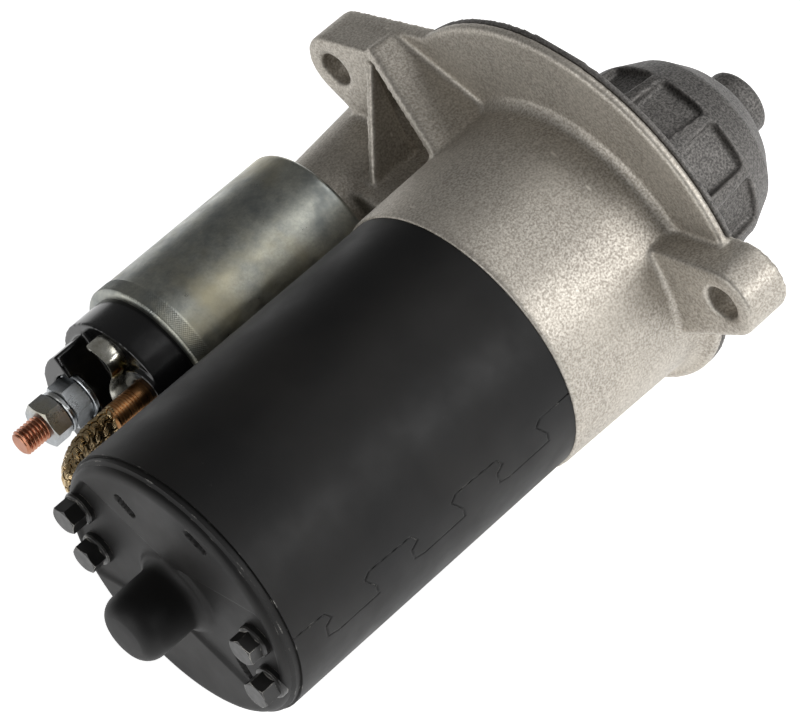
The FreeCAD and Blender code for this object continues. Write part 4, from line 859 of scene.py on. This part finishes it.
@dataclass
class CapBolts:
    """Flanged hexagon screws in the end cap: two long ones and two that hold the brush plate."""

    face: float = -171.0
    long_at: tuple[float, float] = (35.5, 10.0)
    short_at: tuple[float, float] = (31.9, -5.1)
    flats: float = 8.0

    def screw(
        self, y: float, z: float, turn: float, height: float, shank: float, reach: float,
    ) -> bmesh.types.BMesh:
        """One screw with its flange and shank."""
        head = Hexagonal(self.face - height, self.face - 1.0, self.flats, y, z, turn, both=False).mesh()
        rim = self.flats / 2 + 1.2
        flange = turned(
            [
                (self.face - 1.7, 0.0), (self.face - 1.6, self.flats / 2 - 0.3),
                (self.face - 1.0, rim - 0.25),
                (self.face - 0.5, rim), (self.face + 1.0, rim), (self.face + 1.0, 0.0),
            ],
            y, z,
        )
        rod = turned([(self.face, 0.0), (self.face, shank), (reach, shank), (reach, 0.0)], y, z, 24)
        return joined(head, flange, rod)

    def build(self) -> None:
        """Build and dress the four screws."""
        y, z = self.long_at
        pair = joined(self.screw(y, z, 12.0, 6.4, 2.5, -45.0), self.screw(-y, -z, 40.0, 6.4, 2.5, -45.0))
        placed("ThroughBolts", pair, Finish.HEAD_STEEL, "motor_frame", ("through_bolts",), 25.0)
        y, z = self.short_at
        pair = joined(self.screw(y, z, 25.0, 5.6, 2.0, -161.8), self.screw(-y, -z, 55.0, 5.6, 2.0, -161.8))
        placed(
            "BrushPlateScrews", pair, Finish.HEAD_STEEL, "motor_frame",
            ("brush_plate_screws",), 25.0,
        )


# ------------------------------------------------------------------ solenoid


@dataclass
class SolenoidCase:
    """Plated can with a knurled crimp over the cap and a soft front corner."""

    y: float = 72.2
    z: float = -11.4
    radius: float = 27.0
    rear: float = -110.0
    front: float = -43.2
    crimp: float = 4.6

    def surface(self, x: float, turn: float) -> float:
        """The case's radius at a place, with the knurl and a faint score."""
        r = self.radius
        crimp_end = self.rear + self.crimp
        inside = smooth_step(self.rear - 0.9, self.rear - 0.4, x)
        inside *= 1.0 - smooth_step(crimp_end - 0.8, crimp_end, x)
        arc = turn * self.radius
        lean = abs(((x + arc * 0.9) / 0.8) % 1.0 - 0.5) + abs(((x - arc * 0.9) / 0.8) % 1.0 - 0.5)
        r += inside * (0.3 * (1.0 - lean) - 0.08)
        r -= 0.1 * math.exp(-(((x + 79.0) / 0.25) ** 2))
        return r

    def build(self) -> None:
        """Build and dress the case."""
        outer = [(self.rear - 1.2, 24.2), (self.rear - 1.2, 26.2)]
        xs = stations(self.rear - 0.6, self.rear + self.crimp + 1.0, 0.24)
        xs += stations(self.rear + self.crimp + 1.0, self.front - 1.6, 0.9)[1:]
        rows = []
        count = 720
        for x, r in outer:
            rows.append([(x, r, math.tau * k / count) for k in range(count)])
        for x in xs:
            turns = [math.tau * k / count for k in range(count)]
            rows.append([(x, self.surface(x, turn), turn) for turn in turns])
        for step in range(1, 6):
            bend = math.pi / 2 * step / 5
            x = self.front - 1.6 * (1.0 - math.sin(bend))
            r = self.radius - 1.6 * (1.0 - math.cos(bend))
            rows.append([(x, r, math.tau * k / count) for k in range(count)])
        inner = (
            (self.front, 12.0), (self.front - 3.0, 12.0), (self.front - 3.0, 25.2),
            (self.rear + 1.0, 25.2), (self.rear - 1.2, 24.2),
        )
        for x, r in inner:
            rows.append([(x, r, math.tau * k / count) for k in range(count)])
        grid = [[(x, self.y + r * math.cos(t), self.z + r * math.sin(t)) for x, r, t in row] for row in rows]
        placed(
            "SolenoidCan", ring_grid(grid), Finish.ZINC, "motor_frame", ("solenoid_case",), 40.0
        )


@dataclass
class Terminals:
    """Moulded cap, battery stud with its nuts and washers, motor terminal and switch blade."""

    y: float = 79.9
    z: float = -9.2
    floor: float = -132.0
    tip: float = -157.0
    nut: float = 6.4
    flats: float = 13.0
    motor_y: float = 59.9
    motor_z: float = -1.4

    def build(self) -> None:
        """Build and dress every terminal part."""
        cap = remeshed(from_node("solenoid_cap"), 0.5, 3)
        placed(
            "CapMoulding", cap, Finish.CAP_MOULDING, "motor_frame", ("solenoid_cap",), 60.0
        )
        stud = joined(
            threaded(self.tip, -119.2, 4.0, 1.25, self.y, self.z),
            disc(-119.2, -116.2, 4.7, 0.05, self.y, self.z),
        )
        placed("BatteryStud", stud, Finish.COPPER, "motor_frame", ("battery_stud",), 30.0)
        washer = self.floor - 1.8
        inner = washer - self.nut
        ring = inner - 2.0
        outer = ring - self.nut
        nuts = joined(
            Hexagonal(inner, washer, self.flats, self.y, self.z, 8.0, 3.7).mesh(),
            Hexagonal(outer, ring, self.flats, self.y, self.z, 22.0, 3.7).mesh(),
        )
        placed("BatteryNuts", nuts, Finish.NUT_ZINC, "motor_frame", ("battery_nuts",), 25.0)
        flat = joined(
            disc(washer, washer + 0.85, 7.7, 4.0, self.y, self.z),
            disc(washer + 0.95, self.floor, 7.2, 4.0, self.y, self.z),
        )
        placed("StudWasher", flat, Finish.NUT_ZINC, "motor_frame", ("stud_washer",), 30.0)
        placed(
            "SpringWasher", self.split_ring(ring, inner), Finish.NUT_ZINC, "motor_frame",
            ("spring_washer",), 30.0,
        )
        self.motor_stub()
        self.blade()

    def split_ring(self, x0: float, x1: float) -> bmesh.types.BMesh:
        """The spring washer: a square section wound almost once, its ends apart."""
        rows = []
        for step in range(61):
            turn = math.radians(-64.0 + 346.0 * step / 60)
            shift = 0.5 * (step / 60 - 0.5)
            low, high = x0 + 0.27 + shift, x1 - 0.27 + shift
            row = []
            section = (
                (low, 4.2), (low, 6.6), (low + 0.3, 6.9), (high - 0.3, 6.9), (high, 6.6), (high, 4.2),
            )
            for x, r in section:
                row.append((x, self.y + r * math.cos(turn), self.z + r * math.sin(turn)))
            rows.append(row)
        bm = ring_grid(rows)
        bmesh.ops.holes_fill(bm, edges=[edge for edge in bm.edges if edge.is_boundary], sides=0)
        bmesh.ops.recalc_face_normals(bm, faces=bm.faces)
        return bm

    def motor_stub(self) -> None:
        """The ribbed copper stub that the braid is pressed into."""
        profile = [(-138.5, 0.0), (-138.5, 3.1), (-138.1, 3.6)]
        x = -137.9
        while x < -129.0:
            profile += [(x, 4.0), (x + 0.55, 4.0), (x + 0.7, 3.72), (x + 0.85, 3.72)]
            x += 1.0
        profile += [(x, 4.0), (-119.2, 4.0), (-119.2, 4.7), (-116.2, 4.7), (-116.2, 0.0)]
        stub = turned(profile, self.motor_y, self.motor_z)
        placed("MotorTerminal", stub, Finish.OLD_COPPER, "motor_frame", ("motor_terminal",), 30.0)

    def blade(self) -> None:
        """The switch blade: a strip on edge, wound in an S, with a rounded free end."""
        path = eased(
            [
                (-126.6, 76.3, 10.7), (-126.6, 72.7, 11.0), (-126.6, 68.3, 9.5), (-126.6, 66.7, 5.4),
                (-126.6, 68.6, 0.1), (-126.6, 69.7, -4.6), (-126.6, 68.4, -9.8), (-126.6, 63.5, -12.9),
            ],
            9,
        )
        section = (
            (-1.0, -0.5), (-1.0, 0.5), (-0.86, 1.0), (0.86, 1.0),
            (1.0, 0.5), (1.0, -0.5), (0.86, -1.0), (-0.86, -1.0),
        )
        rows = []
        for index, point in enumerate(path):
            run = (path[min(index + 1, len(path) - 1)] - path[max(index - 1, 0)]).normalized()
            out = X_AXIS.cross(run).normalized() * 0.4
            left = min(len(path) - 1 - index, index + 3)
            half = 3.1 * math.sqrt(max(1.0 - max(1.0 - left / 7.0, 0.0) ** 2, 0.05))
            row = []
            for reach, lift in section:
                row.append(tuple(point + X_AXIS * half * reach + out * lift))
            rows.append(row)
        bm = ring_grid(rows)
        bmesh.ops.holes_fill(bm, edges=[edge for edge in bm.edges if edge.is_boundary], sides=0)
        bmesh.ops.recalc_face_normals(bm, faces=bm.faces)
        placed("SwitchBlade", bm, Finish.BLADE, "motor_frame", ("spade_terminal",), 40.0)


@dataclass
class BraidedLead:
    """Flat copper braid from the motor terminal into the frame."""

    strands: int = 8
    wires: int = 4
    wide: float = 3.7
    thin: float = 2.5
    wire: float = 0.29

    def build(self) -> None:
        """Build and dress the braid."""
        path = eased(
            [
                (-136.5, 59.9, -1.4), (-141.0, 59.9, -1.4), (-147.0, 59.4, -1.2), (-153.0, 56.9, 0.4),
                (-159.0, 52.6, 2.3), (-162.6, 48.2, 3.0), (-163.0, 43.0, 3.0),
            ],
            16,
        )
        frames = []
        for index, point in enumerate(path):
            run = (path[min(index + 1, len(path) - 1)] - path[max(index - 1, 0)]).normalized()
            flat = Vector((0.0, 0.25, 1.0))
            across = (flat - run * flat.dot(run)).normalized()
            frames.append((point, across, run.cross(across)))
        shapes = [self.core(frames)]
        for hand in (1, -1):
            for strand in range(self.strands):
                for lane in range(self.wires):
                    shapes.append(self.strand(frames, hand, strand, lane - (self.wires - 1) / 2))
        placed("BraidedLead", joined(*shapes), Finish.BRAID, "motor_frame", ("motor_lead",), 60.0)

    def core(self, frames: list[tuple[Vector, Vector, Vector]]) -> bmesh.types.BMesh:
        """The dark filling under the woven wires."""
        rows = []
        for point, across, up in frames:
            row = []
            for index in range(20):
                turn = math.tau * index / 20
                place = point + across * (self.wide - 0.75) * math.cos(turn)
                place = place + up * (self.thin - 0.75) * math.sin(turn)
                row.append(tuple(place))
            rows.append(row)
        return ring_grid(rows)

    def strand(
        self, frames: list[tuple[Vector, Vector, Vector]], hand: int, strand: int, lane: float,
    ) -> bmesh.types.BMesh:
        """One wire of a woven strand.

        Args:
            frames: the path's points with their two cross directions.
            hand: which way the strand winds.
            strand: its number.
            lane: the wire's place within its strand.

        Returns:
            The wire as a thin tube.
        """
        centres = []
        for index, (point, across, up) in enumerate(frames):
            share = index / (len(frames) - 1)
            turn = hand * (math.tau * (share * 1.15 + strand / self.strands) + lane * 0.14)
            weave = 0.36 * math.sin(share * math.tau * 1.15 * self.strands + (0.0 if hand > 0 else math.pi))
            loose = 1.0 + 0.06 * noise.noise(Vector((share * 9.0, strand * 1.7, hand + lane)))
            wide, thin = (self.wide + weave) * loose, (self.thin + weave) * loose
            centres.append(point + across * wide * math.cos(turn) + up * thin * math.sin(turn))
        rows = []
        for index, centre in enumerate(centres):
            run = (centres[min(index + 1, len(centres) - 1)] - centres[max(index - 1, 0)]).normalized()
            up = frames[index][2]
            first = (up - run * up.dot(run)).normalized()
            second = run.cross(first)
            row = []
            for corner in range(5):
                turn = math.tau * corner / 5
                row.append(tuple(centre + (first * math.cos(turn) + second * math.sin(turn)) * self.wire))
            rows.append(row)
        return ring_grid(rows)


# ------------------------------------------------------------------ studio


@dataclass
class Studio:
    """Pale floor, soft lights and the camera behind and above the motor's end cap."""

    camera_at: Vector = field(default_factory=lambda: Vector((-0.6048, -0.6513, 0.9532)))
    camera_right: Vector = field(default_factory=lambda: Vector((0.68582, -0.71867, -0.11472)))
    camera_up: Vector = field(default_factory=lambda: Vector((0.59634, 0.46457, 0.65464)))
    lens: float = 203.5
    floor_height: float = -0.0515

    def build(self) -> None:
        """Place the camera, the lights and the floor."""
        scene = bpy.context.scene
        lens = bpy.data.cameras.new("camera")
        lens.lens = self.lens
        lens.sensor_width = 36.0
        lens.clip_end = 20.0
        camera = bpy.data.objects.new("camera", lens)
        back = self.camera_right.cross(self.camera_up)
        turn = Matrix((self.camera_right, self.camera_up, back)).transposed().to_4x4()
        camera.matrix_world = Matrix.Translation(self.camera_at) @ turn
        scene.collection.objects.link(camera)
        scene.camera = camera
        scene.view_settings.view_transform = "Standard"

        world = bpy.data.worlds.new("studio")
        world.use_nodes = True
        sky = world.node_tree.nodes["Background"]
        sky.inputs["Color"].default_value = (1.0, 1.0, 1.0, 1.0)
        sky.inputs["Strength"].default_value = 0.17
        scene.world = world

        up, right, back = self.camera_up, self.camera_right, self.camera_right.cross(self.camera_up)
        self.lamp("key", back * 0.75 + up * 0.2 + right * 0.95, 7.6, 0.6)
        self.lamp("rim", Vector((0.55, -0.1, 0.75)), 2.0, 0.5)
        self.lamp("fill", Vector((-1.0, 0.05, 0.3)), 3.6, 0.7)
        self.floor()

    def lamp(self, name: str, where: Vector, power: float, size: float) -> None:
        """Hang one square soft light that faces the starter.

        Args:
            name: its name.
            where: its place.
            power: its strength in watts.
            size: its side in metres.
        """
        data = bpy.data.lights.new(name, "AREA")
        data.energy = power
        data.size = size
        lamp = bpy.data.objects.new(name, data)
        aim = Vector((-0.05, 0.02, 0.0)) - where
        lamp.matrix_world = Matrix.Translation(where) @ aim.to_track_quat("-Z", "Y").to_matrix().to_4x4()
        bpy.context.scene.collection.objects.link(lamp)

    def floor(self) -> None:
        """Lay the floor under the lowest point."""
        bm = bmesh.new()
        bmesh.ops.create_grid(bm, x_segments=1, y_segments=1, size=4.0)
        bmesh.ops.translate(bm, verts=bm.verts, vec=(0.0, 0.0, self.floor_height))
        mesh = bpy.data.meshes.new("floor")
        bm.to_mesh(mesh)
        bm.free()
        sketch = Sketch("PaleFloor")
        sketch.shader.inputs["Emission Color"].default_value = (1.0, 1.0, 1.0, 1.0)
        sketch.shader.inputs["Emission Strength"].default_value = 0.8
        mesh.materials.append(sketch.finish((0.93, 0.93, 0.93), 0.0, 0.8, specular=0.1))
        floor = bpy.data.objects.new("floor", mesh)
        bpy.context.scene.collection.objects.link(floor)


# ------------------------------------------------------------------ frame nodes


@dataclass
class NodeDresser:
    """Gives each frame node that stays its finish."""

    finishes: dict[str, Finish] = field(default_factory=dict)

    def dress(self, nodes: dict[str, bpy.types.Object], slots: dict[str, str]) -> None:
        """Put a finish on every node's material slots.

        Args:
            nodes: the frame's nodes.
            slots: the record's material slot of each node.
        """
        for name, piece in nodes.items():
            finish = self.finishes.get(name) or SLOT_FINISH[slots[name]]
            piece.data.materials.clear()
            piece.data.materials.append(SHELF.get(finish))


SLOT_FINISH = {
    "cast_aluminium": Finish.CASTING,
    "dark_casting": Finish.NOSE_CASTING,
    "black_paint": Finish.PAINT,
    "zinc_plate": Finish.NUT_ZINC,
    "black_moulding": Finish.CAP_MOULDING,
    "dark_plastic": Finish.DULL_MOULDING,
    "rubber": Finish.RUBBER,
    "copper": Finish.COPPER,
    "brass": Finish.BRASS,
    "tinned_brass": Finish.BRASS,
    "bronze": Finish.BRONZE,
    "bright_steel": Finish.STEEL,
    "dark_steel": Finish.DARK_STEEL,
    "gear_steel": Finish.GEAR_STEEL,
    "laminated_steel": Finish.LAMINATION,
    "ferrite": Finish.FERRITE,
    "carbon": Finish.CARBON,
}


def main() -> None:
    """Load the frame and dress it."""
    logging.basicConfig(level=logging.INFO, format="%(message)s")
    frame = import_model()
    slots = {row["node"]: row["material_slot"] for row in frame["record"]["subparts"]}
    Studio().build()
    wound = dict.fromkeys(("armature_windings", "pull_in_winding", "hold_in_winding"), Finish.WINDING)
    NodeDresser({**wound, "coil_bobbin": Finish.DULL_MOULDING}).dress(frame["nodes"], slots)

    for group in (Castings, FrameTube, EndCap, CapBolts, SolenoidCase, Terminals, BraidedLead):
        group().build()


if __name__ == "__main__":
    main()
